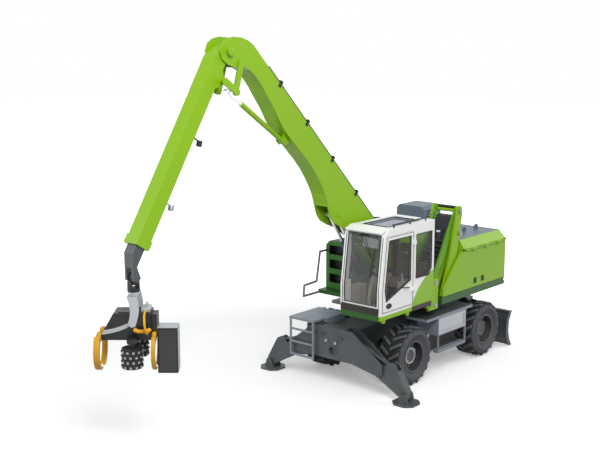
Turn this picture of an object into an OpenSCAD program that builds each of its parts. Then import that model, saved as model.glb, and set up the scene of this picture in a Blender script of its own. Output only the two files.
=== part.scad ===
/* [Wheels] */
// Tyre diameter over the lugs
tyre_d = 1170; // [900:10:1500]
// Tyre width
tyre_w = 540; // [400:10:700]
// Height of the tread lugs
lug_h = 34; // [15:1:50]
// Bead seat diameter of the rim
rim_d = 600; // [500:10:700]
// Rim width over the flanges
rim_w = 440; // [340:10:560]
// Distance between the axles
wheelbase = 2610; // [2200:10:3200]
// Distance between the wheel centres of one axle
track = 1920; // [1600:10:2200]

/* [Undercarriage] */
// Width of the main chassis box
chassis_w = 700; // [500:10:800]
// Height of the chassis top above ground
chassis_top = 1120; // [950:10:1300]
// Depth of the chassis box
chassis_d = 340; // [200:10:420]
// Rear end of the chassis behind the slewing axis
chassis_rear = 1960; // [1700:10:2300]
// Front face of the outrigger beam ahead of the slewing axis
beam_front = 2400; // [2200:10:2800]
// Length of the outrigger beam
beam_len = 260; // [200:10:320]
// Outer diameter of the slewing ring
ring_d = 1240; // [900:10:1400]
// Height of the fixed slewing ring
ring_h = 180; // [100:5:220]

/* [Outriggers] */
// Leg hinge distance from the middle
leg_pivot_y = 1110; // [900:10:1250]
// Leg hinge height above ground
leg_pivot_z = 460; // [380:10:560]
// Foot pin distance from the middle
foot_pin_y = 1680; // [1500:10:1800]
// Foot pin height above ground
foot_pin_z = 155; // [120:5:200]
// Side length of the square foot
foot_w = 470; // [300:10:560]

/* [Blade] */
// Blade width
blade_w = 2440; // [2000:10:2800]
// Blade height
blade_h = 780; // [500:10:900]
// Rearmost line of the blade behind the slewing axis
blade_rear = 2400; // [2250:10:2800]

/* [Upper carriage] */
// Underside of the deck above ground
deck_bottom = 1480; // [1400:10:1600]
// Deck thickness
deck_t = 80; // [40:5:120]
// Overall width of the upper carriage
upper_w = 2500; // [2200:10:2700]
// Rear end of the upper carriage behind the slewing axis
upper_rear = 1940; // [1700:10:2200]
// Top of the engine cover above ground
cover_top = 2650; // [2300:10:2900]
// Height of the grey cooler hood above the cover
hood_h = 420; // [200:10:500]

/* [Cab] */
// Rear wall ahead of the slewing axis
cab_rear = 800; // [700:10:900]
// Cab length over the floor
cab_len = 1740; // [1500:10:1900]
// Cab height
cab_h = 1610; // [1450:10:1750]
// Cab width
cab_w = 940; // [850:10:980]
// Cab floor above ground
cab_floor = 1640; // [1600:10:1750]
// Wall thickness of the cab
cab_t = 40; // [25:1:60]
// Length of the cab lift arm between its pins
lift_len = 1560; // [1300:10:1700]
// Angle of the lift arm below the horizontal
lift_angle = 59; // [50:1:65]

/* [Boom and stick] */
// Boom length between the pins
boom_len = 6540; // [5500:10:7500]
// Boom angle above the horizontal
boom_angle = 42.65; // [10:0.05:65]
// Boom width
boom_w = 350; // [280:5:420]
// Boom foot pin ahead of the slewing axis
boom_foot_x = 550; // [450:10:650]
// Boom foot pin above ground
boom_foot_z = 2100; // [2000:10:2250]
// Stick length from its pin to the end of the outer box
stick_len = 3550; // [3000:10:4200]
// Stick box width
stick_w = 280; // [220:5:320]
// Stick box depth
stick_d = 260; // [220:5:320]
// Stick angle below the horizontal
stick_angle = 58; // [20:1:90]

/* [Harvester head] */
// Length of the head frame
head_len = 1150; // [1000:10:1400]
// Width of the head frame
head_w = 400; // [360:10:520]
// Turn of the head about its hanging axis
head_turn = -49; // [-180:1:180]
// Feed roller diameter
roller_d = 360; // [300:10:440]

/* [Hidden] */
$fn = 48;
// Paint colours
green = [0.50, 0.72, 0.13];
slate = [0.20, 0.22, 0.25];
black = [0.06, 0.06, 0.07];
silver = [0.60, 0.63, 0.66];
white = [0.90, 0.91, 0.90];
glass = [0.30, 0.32, 0.32, 0.5];
yellow = [0.88, 0.62, 0.10];
// Radial clearance of pins and shafts in their bores
pin_fit = 0.1;
// Overrun of cuts
over = 2;
// Clearance between moving pieces that pass each other
side_gap = 8;
// Plate thickness of frames
plate = 30;
// Middle of the whole part along its length
centre_x = 2850;

// Moves machine coordinates so that the part is centred on its own box
module place() {
    translate([-centre_x, 0, 0]) children();
}

// Plate drawn in length and height, centred at a place across the width
module side_plate(points, t, y) {
    translate([0, y, 0]) rotate([90, 0, 0]) linear_extrude(t, center = true) polygon(points);
}

// Plate drawn in width and height, standing forward from a place along the length
module cross_plate(points, t, x) {
    translate([x, 0, 0]) rotate([90, 0, 90]) linear_extrude(t) polygon(points);
}

// Round bar across the width
module pin_y(x, y, z, d, l) {
    translate([x, y, z]) rotate([90, 0, 0]) cylinder(d = d, h = l, center = true);
}

// Ends of a pin across the width, on both sides of an eye that stays free
module ends_y(x, y, z, d, gap, l) {
    for (e = [-1, 1])
        pin_y(x, y + e * (gap + l) / 2, z, d, l);
}

// Round bar along the length
module pin_x(x, y, z, d, l) {
    translate([x, y, z]) rotate([0, 90, 0]) cylinder(d = d, h = l, center = true);
}

// Box from its lowest corner to its highest corner
module block(lo, hi) {
    translate(lo) cube(hi - lo);
}

// Box between two lengths and heights on one side of the middle
module side_block(s, x0, x1, y0, y1, z0, z1) {
    translate([x0, s > 0 ? y0 : -y1, z0]) cube([x1 - x0, y1 - y0, z1 - z0]);
}

// Points the upright axis of a child from a towards b
module along(a, b) {
    v = b - a;
    translate(a) rotate([0, 0, atan2(v[1], v[0])]) rotate([0, atan2(norm([v[0], v[1]]), v[2]),
        0]) children();
}

// Straight round tube between two points
module bar(a, b, d) {
    along(a, b) cylinder(d = d, h = norm(b - a));
}

// Mirrors a left-hand piece to the right
module hand(s) {
    mirror([0, s < 0 ? 1 : 0, 0]) children();
}

// Wheel and axle sizes
tyre_r = tyre_d / 2;
rim_r = rim_d / 2;
wheel_y = track / 2;
axle_x = wheelbase / 2;
flange_h = 24;
flange_t = 14;
barrel_t = 16;
disc_t = 22;
disc_y = 44;
hub_r = 165;
hub_out = 130;
spindle_r = 70;
spindle_out = 60;
king_y = 640;
king_r = 45;
king_h = 360;
yoke_gap = 200;
yoke_t = 50;
yoke_w = 200;
axle_r = 110;
housing_r = 190;
// Slewing ring sizes
ring_z = chassis_top + ring_h;
ring_gap = 6;
ring_fit = 0.3;
ring_step = 4;
ring_neck_share = 0.72;
post_r = 300;
post_h = 140;
// Outrigger sizes
leg_t = 170;
leg_pin_d = 90;
leg_eye_y = 1380;
leg_eye_z = 645;
leg_base_y = 400;
leg_base_z = 1000;
leg_barrel_d = 96;
leg_rod_d = 60;
leg_eye_d = 100;
pin_end = 6;
beam_mid = beam_front - beam_len / 2;
beam_top = 1180;
beam_top_half = 490;
beam_core = 280;
beam_low = 545;
tow_z = 720;
tow_r = 75;
tow_lip = 16;
// Blade sizes
blade_pivot_x = -1830;
blade_pivot_z = 640;
blade_arm_y = 430;
blade_arm_t = 70;
blade_pin_d = 80;
blade_cyl_y = 250;
blade_top_x = -2020;
blade_top_z = 1010;
blade_eye_x = -2160;
blade_eye_z = 380;
blade_barrel_d = 80;
blade_rod_d = 45;
blade_ear_t = 24;
blade_eye_w = 84;
blade_skin = 40;
blade_lip = 60;

function beam_points() = [[-beam_top_half, beam_top], [beam_top_half, beam_top],
    [leg_pivot_y + leg_pin_d, leg_pivot_z + leg_pin_d * 2], [leg_pivot_y + leg_pin_d, leg_pivot_z],
    [leg_pivot_y + leg_pin_d / 2, leg_pivot_z - leg_pin_d / 2], [beam_top_half, beam_low],
    [-beam_top_half, beam_low], [-leg_pivot_y - leg_pin_d / 2, leg_pivot_z - leg_pin_d / 2],
    [-leg_pivot_y - leg_pin_d, leg_pivot_z], [-leg_pivot_y - leg_pin_d, leg_pivot_z + leg_pin_d * 2]];

module blade_ears(s) {
    // Hinge ears of the blade arm and top ears of the blade cylinder
    for (e = [-1, 1]) {
        translate([0, e * (blade_arm_t / 2 + side_gap + blade_ear_t / 2), 0])
            side_plate([[blade_pivot_x - blade_pin_d, blade_pivot_z - blade_pin_d],
                [blade_pivot_x + blade_pin_d, blade_pivot_z - blade_pin_d],
                [blade_pivot_x + blade_pin_d * 2, chassis_top - plate],
                    [blade_pivot_x - blade_pin_d, chassis_top - plate]],
                blade_ear_t, s * blade_arm_y);
        translate([0, e * (blade_eye_w / 2 + side_gap + blade_ear_t / 2), 0])
            side_plate([[blade_top_x - blade_pin_d, blade_top_z - blade_pin_d / 2],
                [-chassis_rear + over, blade_top_z - blade_pin_d],
                [-chassis_rear + over, blade_top_z + blade_pin_d],
                    [blade_top_x - blade_pin_d, blade_top_z + blade_pin_d / 2]],
                blade_ear_t, s * blade_cyl_y);
    }
    side_block(s, blade_pivot_x + blade_pin_d, blade_pivot_x + blade_pin_d * 2, chassis_w / 2 - over,
        blade_arm_y + blade_arm_t / 2 + side_gap + blade_ear_t, chassis_top - chassis_d,
            chassis_top - plate);
    pin_y(blade_pivot_x, s * blade_arm_y, blade_pivot_z, blade_pin_d,
        blade_arm_t + (side_gap + blade_ear_t) * 2);
    pin_y(blade_top_x, s * blade_cyl_y, blade_top_z, blade_rod_d,
        blade_eye_w + (side_gap + blade_ear_t) * 2);
}

module chassis() {
    color(slate) place() difference() {
        union() {
            block([-chassis_rear, -chassis_w / 2, chassis_top - chassis_d],
                [beam_front - beam_len + plate, chassis_w / 2, chassis_top]);
            translate([0, 0, chassis_top - plate]) cylinder(d = ring_d, h = ring_h + plate);
            translate([0, 0, chassis_top]) cylinder(r = post_r, h = ring_h + post_h);
            for (x = [beam_front - beam_len, beam_front - plate])
                cross_plate(beam_points(), plate, x);
            block([beam_front - beam_len, -beam_core, beam_low], [beam_front, beam_core, beam_top]);
            // Raised plate round the tow hole
            pin_x(beam_front + (tow_lip - over) / 2, 0, tow_z, tow_r * 2 + tow_lip * 3, tow_lip + over);
            for (s = [-1, 1]) {
                pin_x(beam_mid, s * leg_pivot_y, leg_pivot_z, leg_pin_d, beam_len + plate);
                pin_x(beam_mid, s * leg_base_y, leg_base_z, leg_rod_d, beam_len - plate);
                blade_ears(s);
            }
        }
        pin_x(beam_front, 0, tow_z, tow_r * 2, (plate + tow_lip) * 2);
        // Open channel under the chassis
        block([-chassis_rear + plate, -chassis_w / 2 + plate, chassis_top - chassis_d - over],
            [beam_front - beam_len - plate, chassis_w / 2 - plate, chassis_top - plate]);
    }
}

module axle_beam(x) {
    pin_y(x, 0, tyre_r, axle_r * 2, king_y * 2 - yoke_w);
    translate([x, 0, tyre_r]) sphere(r = housing_r);
    for (e = [-1, 1])
        block([x + e * housing_r * 0.75 - yoke_t, -chassis_w / 2, tyre_r - axle_r / 2],
            [x + e * housing_r * 0.75 + yoke_t, chassis_w / 2, chassis_top - chassis_d]);
}

module yoke(s) {
    translate([axle_x, s * king_y, tyre_r]) difference() {
        union() {
            for (e = [-1, 1])
                translate([0, 0, e * (yoke_gap + yoke_t) / 2]) cube([yoke_w, yoke_w, yoke_t],
                    center = true);
            translate([0, -s * yoke_w / 2, 0]) cube([yoke_w, yoke_t, yoke_gap + yoke_t * 2],
                center = true);
        }
        cylinder(r = king_r + pin_fit, h = king_h + over, center = true);
    }
}

module axles() {
    color(slate) place() {
        axle_beam(axle_x);
        yoke(1);
        yoke(-1);
        axle_beam(-axle_x);
        pin_y(-axle_x, 0, tyre_r, axle_r * 2, wheel_y * 2 - rim_w / 2);
        pin_y(-axle_x, 0, tyre_r, spindle_r * 2, (wheel_y + spindle_out) * 2);
    }
}

module knuckle(s) {
    color(slate) place() translate([axle_x, s * king_y, tyre_r]) {
        cylinder(r = king_r, h = king_h, center = true);
        cylinder(r = yoke_w / 2 - yoke_t / 2 - side_gap, h = yoke_gap - side_gap * 2, center = true);
        rotate([-s * 90, 0, 0]) cylinder(r = spindle_r, h = wheel_y + spindle_out - king_y);
    }
}

module knuckle_left() {
    knuckle(1);
}

module knuckle_right() {
    knuckle(-1);
}

// Tread lugs in two staggered rows that lean towards the outside
lug_n = 18;
lug_w = 62;
lug_sweep = 170;
lug_mid = 14;

// Outline of the tyre from bead to bead, with the tread dropped by the lugs for the carcass
function tyre_outline(drop, bulge_share, shoulder_share) =
    let (bulge_r = rim_r + (tyre_r - rim_r) * bulge_share, half = tyre_w / 2, seat = rim_w / 2 - flange_t,
        r = tyre_r - drop, one = [[rim_r + pin_fit, seat], [rim_r + flange_h, seat], [bulge_r, half],
            [r - lug_h, half - lug_h], [r, half * shoulder_share]])
    concat([for (p = one) [p[0], -p[1]]], [for (i = [len(one) - 1:-1:0]) one[i]]);

module tyre(x, s) {
    shoulder_share = 0.76;
    bulge_share = 0.50;
    stagger_share = 0.5;
    root = tyre_r - lug_h * 4;
    color(black) place() translate([x, s * wheel_y, tyre_r]) rotate([-s * 90, 0, 0]) {
        rotate_extrude($fn = 72) polygon(tyre_outline(lug_h, bulge_share, shoulder_share));
        intersection() {
            rotate_extrude($fn = 72) polygon(tyre_outline(0, bulge_share, shoulder_share));
            for (e = [-1, 1], i = [0:lug_n - 1])
                rotate([0, 0, (i + (e > 0 ? 0 : stagger_share)) * 360 / lug_n])
                    translate([root, 0, 0]) rotate([0, 90, 0]) linear_extrude(lug_h * 5)
                        polygon([[-e * lug_mid, 0], [-e * tyre_w / 2, -s * lug_sweep],
                            [-e * tyre_w / 2, -s * (lug_sweep + lug_w)], [-e * lug_mid, -s * lug_w]]);
        }
    }
}

module rim(x, s) {
    edge = rim_w / 2;
    in_r = rim_r - barrel_t;
    color(slate) place() translate([x, s * wheel_y, tyre_r]) rotate([-s * 90, 0, 0])
        rotate_extrude($fn = 72) polygon([[spindle_r + pin_fit, disc_y - disc_t * 3],
            [hub_r, disc_y - disc_t * 3], [hub_r, disc_y],
            [in_r, disc_y], [in_r, -edge], [rim_r + flange_h, -edge],
                [rim_r + flange_h, -edge + flange_t],
            [rim_r, -edge + flange_t], [rim_r, edge - flange_t], [rim_r + flange_h, edge - flange_t],
            [rim_r + flange_h, edge], [in_r, edge], [in_r, disc_y + disc_t], [hub_r, disc_y + disc_t],
                [hub_r, hub_out],
            [0, hub_out], [0, spindle_out + side_gap], [spindle_r + pin_fit, spindle_out + side_gap]]);
}

module tyre_front_left() {
    tyre(axle_x, 1);
}

module tyre_front_right() {
    tyre(axle_x, -1);
}

module tyre_rear_left() {
    tyre(-axle_x, 1);
}

module tyre_rear_right() {
    tyre(-axle_x, -1);
}

module rim_front_left() {
    rim(axle_x, 1);
}

module rim_front_right() {
    rim(axle_x, -1);
}

module rim_rear_left() {
    rim(-axle_x, 1);
}

module rim_rear_right() {
    rim(-axle_x, -1);
}

// Step box and ladder sizes
step_front = 520;
step_back = -500;
step_top = 1190;
step_low = 830;
step_bar_z = 500;
step_out = 1210;
step_in = 700;
wing_front = 930;
wing_back = -740;
wing_top = 1250;
ladder_x = 2470;
ladder_l = -1010;
ladder_r = -430;
ladder_top = 1260;
ladder_low = 470;
tube_d = 45;
ladder_rear = 1560;
// Depth of the recess in the outer face of a step box
panel_in = 12;
rung_shares = [0, 0.33, 0.66];

module step_box(s) {
    difference() {
        side_block(s, step_back, step_front, step_in, step_out, step_low, step_top + over);
        // Hollow of the tool box, open towards the chassis beside its carrier
        side_block(s, step_back + plate, step_front - plate, step_in + plate, step_out - plate,
            step_low + plate, step_top - plate);
        side_block(s, step_front / 2 + plate, step_front - plate, step_in - over, step_in + plate + over,
            step_low + plate, step_top - plate);
        side_block(s, step_back + plate * 2, step_front - plate * 2, step_out - panel_in, step_out + over,
            step_low + plate * 2, step_top - plate * 2);
    }
    side_block(s, wing_back, wing_front, step_in, step_out, step_top, wing_top);
    for (x = [step_back, step_front - plate])
        side_block(s, x, x + plate, step_out - plate, step_out, step_bar_z, step_top);
    side_block(s, step_back, step_front, step_out - plate * 4, step_out, step_bar_z - plate,
        step_bar_z + plate);
    side_block(s, step_back / 2, step_front / 2, chassis_w / 2, step_in + over, step_low + plate,
        step_top - plate * 4);
}

module steps() {
    color(silver) place() {
        step_box(1);
        step_box(-1);
        for (y = [ladder_l, ladder_r])
            bar([ladder_x, y, ladder_low], [ladder_x, y, ladder_top - tube_d / 2], tube_d);
        for (f = rung_shares)
            bar([ladder_x, ladder_l, ladder_low + tube_d / 2 + (ladder_top - ladder_low) * f],
                [ladder_x, ladder_r, ladder_low + tube_d / 2 + (ladder_top - ladder_low) * f], tube_d);
        block([ladder_rear, ladder_l - tube_d / 2, ladder_top - tube_d],
            [ladder_x + tube_d / 2, ladder_r + tube_d / 2, ladder_top]);
        block([ladder_rear, ladder_r - over, chassis_top - plate * 4],
            [beam_front - beam_len, -chassis_w / 2, ladder_top]);
    }
}

module leg(s) {
    // Ends of the pin at the eye of the cylinder rod
    color(slate) place() hand(s) for (e = [-1, 1])
        pin_x(beam_mid + e * (leg_t + pin_end) / 2, leg_eye_y, leg_eye_z, leg_rod_d, pin_end);
    color(slate) place() hand(s) difference() {
        cross_plate([[leg_pivot_y - leg_pin_d, leg_pivot_z], [leg_pivot_y, leg_pivot_z + leg_pin_d],
            [leg_eye_y - leg_eye_d, leg_eye_z + leg_eye_d / 2],
            [leg_eye_y, leg_eye_z + leg_eye_d], [leg_eye_y + leg_eye_d, leg_eye_z + leg_eye_d / 2],
                [foot_pin_y + leg_rod_d, foot_pin_z + leg_pin_d],
            [foot_pin_y + leg_rod_d, foot_pin_z - leg_rod_d],
                [foot_pin_y - leg_rod_d, foot_pin_z - leg_rod_d],
            [leg_pivot_y, leg_pivot_z - leg_pin_d],
                [leg_pivot_y - leg_pin_d / 2, leg_pivot_z - leg_pin_d / 2]], leg_t, beam_mid - leg_t / 2);
        pin_x(beam_mid, leg_pivot_y, leg_pivot_z, leg_pin_d + pin_fit * 2, leg_t + over);
        pin_x(beam_mid, foot_pin_y, foot_pin_z, leg_rod_d + pin_fit * 2, leg_t + over);
        // Slot for the eye of the cylinder rod
        translate([beam_mid, leg_eye_y - leg_eye_d / 2, leg_eye_z + leg_eye_d / 2])
            cube([leg_barrel_d + side_gap * 2, leg_eye_d * 4, leg_eye_d * 3], center = true);
    }
}

module leg_left() {
    leg(1);
}

module leg_right() {
    leg(-1);
}

foot_t = 40;
foot_ear_t = 30;

module foot(s) {
    cut_share = 0.25;
    h = foot_w / 2;
    c = foot_w * cut_share;
    color(slate) place() hand(s) translate([beam_mid, foot_pin_y, 0]) {
        linear_extrude(foot_t) polygon([[-h, -h + c], [-h + c, -h], [h - c, -h], [h, -h + c], [h, h - c],
            [h - c, h], [-h + c, h], [-h, h - c]]);
        for (e = [-1, 1])
            cross_plate([[-h / 2, foot_t / 2], [h / 2, foot_t / 2], [leg_rod_d, foot_pin_z + leg_rod_d],
                [-leg_rod_d, foot_pin_z + leg_rod_d]],
                foot_ear_t, e * (leg_t / 2 + side_gap + foot_ear_t / 2) - foot_ear_t / 2);
        pin_x(0, 0, foot_pin_z, leg_rod_d, leg_t + (side_gap + foot_ear_t) * 2);
    }
}

module foot_left() {
    foot(1);
}

module foot_right() {
    foot(-1);
}

leg_base = [beam_mid, leg_base_y, leg_base_z];
leg_eye = [beam_mid, leg_eye_y, leg_eye_z];
leg_cyl_l = norm(leg_eye - leg_base);
leg_barrel_share = 0.53;
leg_rod_share = 0.47;
leg_bore_share = 0.75;

module leg_barrels() {
    color(slate) place() for (s = [-1, 1]) hand(s) difference() {
        union() {
            along(leg_base, leg_eye) cylinder(d = leg_barrel_d, h = leg_cyl_l * leg_barrel_share);
            pin_x(beam_mid, leg_base_y, leg_base_z, leg_barrel_d, leg_barrel_d);
        }
        pin_x(beam_mid, leg_base_y, leg_base_z, leg_rod_d + pin_fit * 2, leg_barrel_d * 2);
        along(leg_base, leg_eye) translate([0, 0,
            leg_barrel_d * leg_bore_share]) cylinder(d = leg_rod_d + pin_fit * 2, h = leg_cyl_l);
    }
}

module leg_rod(s) {
    base = [beam_mid, s * leg_base_y, leg_base_z];
    eye = [beam_mid, s * leg_eye_y, leg_eye_z];
    color(silver) place() difference() {
        union() {
            along(base, eye) translate([0, 0, leg_cyl_l * leg_rod_share])
                cylinder(d = leg_rod_d, h = leg_cyl_l * (1 - leg_rod_share) - leg_eye_d / 4);
            pin_x(beam_mid, s * leg_eye_y, leg_eye_z, leg_eye_d, leg_barrel_d);
        }
        pin_x(beam_mid, s * leg_eye_y, leg_eye_z, leg_rod_d + pin_fit * 2, leg_barrel_d * 2);
    }
}

module leg_rod_left() {
    leg_rod(1);
}

module leg_rod_right() {
    leg_rod(-1);
}

module blade() {
    curve_shares = [[0, 0], [0.13, 0.2], [0.19, 0.45], [0.16, 0.75], [0.02, 1]];
    last = len(curve_shares) - 1;
    inner = [for (p = curve_shares) [-blade_rear + blade_h * p[0] + blade_skin, blade_h * p[1]]];
    outer = [for (i = [last:-1:0]) [-blade_rear + blade_h * curve_shares[i][0],
        blade_h * curve_shares[i][1]]];
    back_share = 0.15;
    back_x = -blade_rear + blade_h * back_share;
    color(slate) place() {
        side_plate(concat(inner, outer), blade_w, 0);
        for (s = [-1, 1])
            side_plate(concat([for (p = inner) p + [blade_lip, 0]], outer), plate,
                s * (blade_w - plate) / 2);
        block([outer[0][0], -blade_w / 2, blade_h - plate],
            [inner[last][0] + blade_lip, blade_w / 2, blade_h]);
        for (s = [-1, 1]) {
            difference() {
                side_plate([[blade_pivot_x + blade_pin_d, blade_pivot_z + blade_pin_d / 2],
                    [blade_pivot_x + blade_pin_d, blade_pivot_z - blade_pin_d],
                    [back_x, blade_eye_z - blade_pin_d * 2], [back_x, blade_eye_z + blade_pin_d],
                    [blade_pivot_x - blade_pin_d, blade_pivot_z + blade_pin_d]], blade_arm_t,
                        s * blade_arm_y);
                pin_y(blade_pivot_x, s * blade_arm_y, blade_pivot_z, blade_pin_d + pin_fit * 2,
                    blade_arm_t + over);
            }
            for (e = [-1, 1])
                translate([0, e * (blade_eye_w / 2 + side_gap + blade_ear_t / 2), 0])
                    side_plate([[blade_eye_x + blade_pin_d / 2, blade_eye_z + blade_pin_d / 2],
                        [blade_eye_x + blade_pin_d / 2, blade_eye_z - blade_pin_d / 2],
                        [back_x, blade_eye_z - blade_pin_d], [back_x, blade_eye_z + blade_pin_d]],
                            blade_ear_t, s * blade_cyl_y);
            ends_y(blade_eye_x, s * blade_cyl_y, blade_eye_z, blade_rod_d, blade_eye_w + side_gap * 2,
                blade_ear_t + pin_end);
        }
    }
}

blade_base = [blade_top_x, 0, blade_top_z];
blade_eye = [blade_eye_x, 0, blade_eye_z];
blade_cyl_l = norm(blade_eye - blade_base);
blade_barrel_share = 0.62;
blade_rod_share = 0.45;

module blade_barrels() {
    color(slate) place() for (s = [-1, 1]) translate([0, s * blade_cyl_y, 0]) difference() {
        union() {
            along(blade_base, blade_eye) cylinder(d = blade_barrel_d,
                h = blade_cyl_l * blade_barrel_share);
            pin_y(blade_top_x, 0, blade_top_z, blade_barrel_d, blade_eye_w);
        }
        pin_y(blade_top_x, 0, blade_top_z, blade_rod_d + pin_fit * 2, blade_barrel_d * 2);
        along(blade_base, blade_eye) translate([0, 0,
            blade_barrel_d]) cylinder(d = blade_rod_d + pin_fit * 2, h = blade_cyl_l);
    }
}

module blade_rods() {
    color(silver) place() for (s = [-1, 1]) translate([0, s * blade_cyl_y, 0]) difference() {
        union() {
            along(blade_base, blade_eye) translate([0, 0, blade_cyl_l * blade_rod_share])
                cylinder(d = blade_rod_d, h = blade_cyl_l * (1 - blade_rod_share) - blade_pin_d / 4);
            pin_y(blade_eye_x, 0, blade_eye_z, blade_pin_d, blade_eye_w);
        }
        pin_y(blade_eye_x, 0, blade_eye_z, blade_rod_d + pin_fit * 2, blade_eye_w * 2);
    }
}

// Upper carriage sizes
deck_top = deck_bottom + deck_t;
half_w = upper_w / 2;
deck_left_front = 480;
deck_front = 1330;
deck_mid_l = 250;
foot_ear_y = boom_w / 2 + side_gap + plate / 2;
foot_ear_back = 300;
boom_pin_d = 130;
boom_ear_r = 170;
lift_base_x = 1200;
lift_base_z = 1700;
lift_pin_d = 80;
// Cab tower and lift linkage sizes
tower_x = -190;
tower_z = 3280;
tower_drop = 450;
tower_r = 105;
tower_near = 1165;
tower_far = 585;
tower_t = 50;
tower_foot_x = 320;
tower_foot_w = 300;
tower_mid_y = (tower_near + tower_far) / 2;
lift_pin = 70;
arm_t = 44;
link_t = 30;
arm_near = tower_near - tower_t / 2 - side_gap - arm_t / 2;
arm_far = tower_far + tower_t / 2 + side_gap + arm_t / 2;
link_near = arm_near - arm_t / 2 - side_gap - link_t / 2;
link_far = arm_far + arm_t / 2 + side_gap + link_t / 2;
arm_end_x = tower_x + lift_len * cos(lift_angle);
arm_end_z = tower_z - lift_len * sin(lift_angle);
lift_eye_at = 500;
lift_eye_x = tower_x + lift_eye_at * cos(lift_angle);
lift_eye_z = tower_z - lift_eye_at * sin(lift_angle);
cab_cyl_z = 1790;
cab_barrel_d = 84;
cab_rod_d = 56;
cab_eye_w = 90;
cab_pin_d = 40;

module tower(y) {
    lean_share = 0.52;
    bow = 120;
    mid_x = tower_foot_x + (tower_x - tower_foot_x) * lean_share - bow / 2;
    mid_z = deck_top + (tower_z - deck_top) * lean_share;
    side_plate([[tower_foot_x - tower_foot_w / 2, deck_bottom + over],
        [tower_foot_x + tower_foot_w / 2, deck_bottom + over],
        [mid_x + bow, mid_z], [tower_x + tower_r, tower_z - tower_r / 2],
            [tower_x + tower_r * 0.7, tower_z + tower_r * 0.7],
        [tower_x, tower_z + tower_r], [tower_x - tower_r * 0.7, tower_z + tower_r * 0.7],
            [tower_x - tower_r, tower_z],
        [mid_x - bow, mid_z]], tower_t, y);
}

module upper_frame() {
    color(green) place() {
        difference() {
            union() {
                translate([0, 0, ring_z + ring_gap]) cylinder(d = ring_d,
                    h = deck_bottom - ring_z - ring_gap - ring_step);
                translate([0, 0, ring_z + ring_gap]) cylinder(d = ring_d * ring_neck_share,
                    h = deck_bottom - ring_z - ring_gap + over);
                block([-upper_rear, -half_w, deck_bottom], [deck_left_front, half_w, deck_top]);
                block([deck_left_front - over, -half_w, deck_bottom], [deck_front, deck_mid_l, deck_top]);
            }
            translate([0, 0, ring_z - over]) cylinder(r = post_r + ring_fit,
                h = post_h + side_gap + over);
        }
        // Skirt under the engine door, cut back at the rear
        side_plate([[-upper_rear + skirt_h, deck_top - over], [deck_left_front, deck_top - over],
            [deck_left_front, deck_top + skirt_h],
            [-upper_rear, deck_top + skirt_h]], cover_t, half_w - cover_t / 2);
        for (s = [-1, 1])
            side_plate([[-foot_ear_back, deck_bottom + over], [deck_front, deck_bottom + over],
                [deck_front, lift_base_z + lift_pin_d],
                [boom_foot_x + boom_ear_r, boom_foot_z],
                    [boom_foot_x + boom_ear_r * 0.7, boom_foot_z + boom_ear_r * 0.7],
                [boom_foot_x, boom_foot_z + boom_ear_r], [boom_foot_x - boom_ear_r, boom_foot_z]],
                plate, s * foot_ear_y);
        pin_y(boom_foot_x, 0, boom_foot_z, boom_pin_d, foot_ear_y * 2 + plate * 2);
        pin_y(lift_base_x, 0, lift_base_z, lift_pin_d, foot_ear_y * 2);
        for (y = [tower_near, tower_far])
            tower(y);
        pin_y(tower_x, tower_mid_y, tower_z, lift_pin, tower_near - tower_far + tower_t * 2);
        pin_y(tower_x, tower_mid_y, tower_z - tower_drop, lift_pin, tower_near - tower_far + tower_t * 2);
        for (e = [-1, 1])
            translate([0, e * (cab_eye_w / 2 + side_gap + plate / 2), 0])
                side_plate([[lift_eye_x - lift_pin, deck_top - over],
                    [lift_eye_x + lift_pin, deck_top - over],
                    [lift_eye_x + lift_pin, cab_cyl_z + lift_pin / 2],
                        [lift_eye_x - lift_pin, cab_cyl_z + lift_pin / 2]], plate, tower_mid_y);
        pin_y(lift_eye_x, tower_mid_y, cab_cyl_z, cab_rod_d, cab_eye_w + (side_gap + plate) * 2);
    }
}

// Engine cover sizes
cover_front = -20;
cover_slant = 340;
door_nose = 430;
door_slant = 620;
cover_edge = 170;
cover_t = 40;
wall_front = -320;
tank_rear = -300;
tank_front = 1080;
tank_in = 460;
tank_top = 2560;
tank_cut = 90;
pocket_d = 150;
pocket_h = 190;
pocket_side = 90;
stair_shares = [0.12, 0.42, 0.72];
skirt_h = 62;
door_low = deck_top + skirt_h + side_gap;
door_head = 20;
door_top = cover_top - cover_edge - door_head;
hinge_d = 24;
hinge_y = half_w + hinge_d + over;
hinge_z = door_top;
hood_front = -1180;
hood_back = -1830;
hood_in = 350;
hood_cut = 70;
hood_slots = 5;
grille_n = 5;
grille_pitch = 52;
grille_slot = 24;
grille_half = 800;
eye_y = 635;
eye_h = 90;
eye_t = 24;
eye_rear = 1720;
eye_front = 1240;
engine_l = 1000;
engine_w = 700;
engine_h = 720;
engine_back = 1400;
weight_l = 380;
bay_r = tower_far - tower_t - cover_t * 2;

module cover_body(t, front) {
    // Closed outline across the width with both top edges cut back, drawn from the rear to the front
    w = half_w - t;
    e = cover_edge + t * 0.4;
    cross_plate([[-w, deck_top - (t > 0 ? over : 0)], [w, deck_top - (t > 0 ? over : 0)],
        [w, cover_top - e], [w - e + t, cover_top - t],
        [-w + e - t, cover_top - t], [-w, cover_top - e]], front + upper_rear - t, -upper_rear + t);
}

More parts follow.
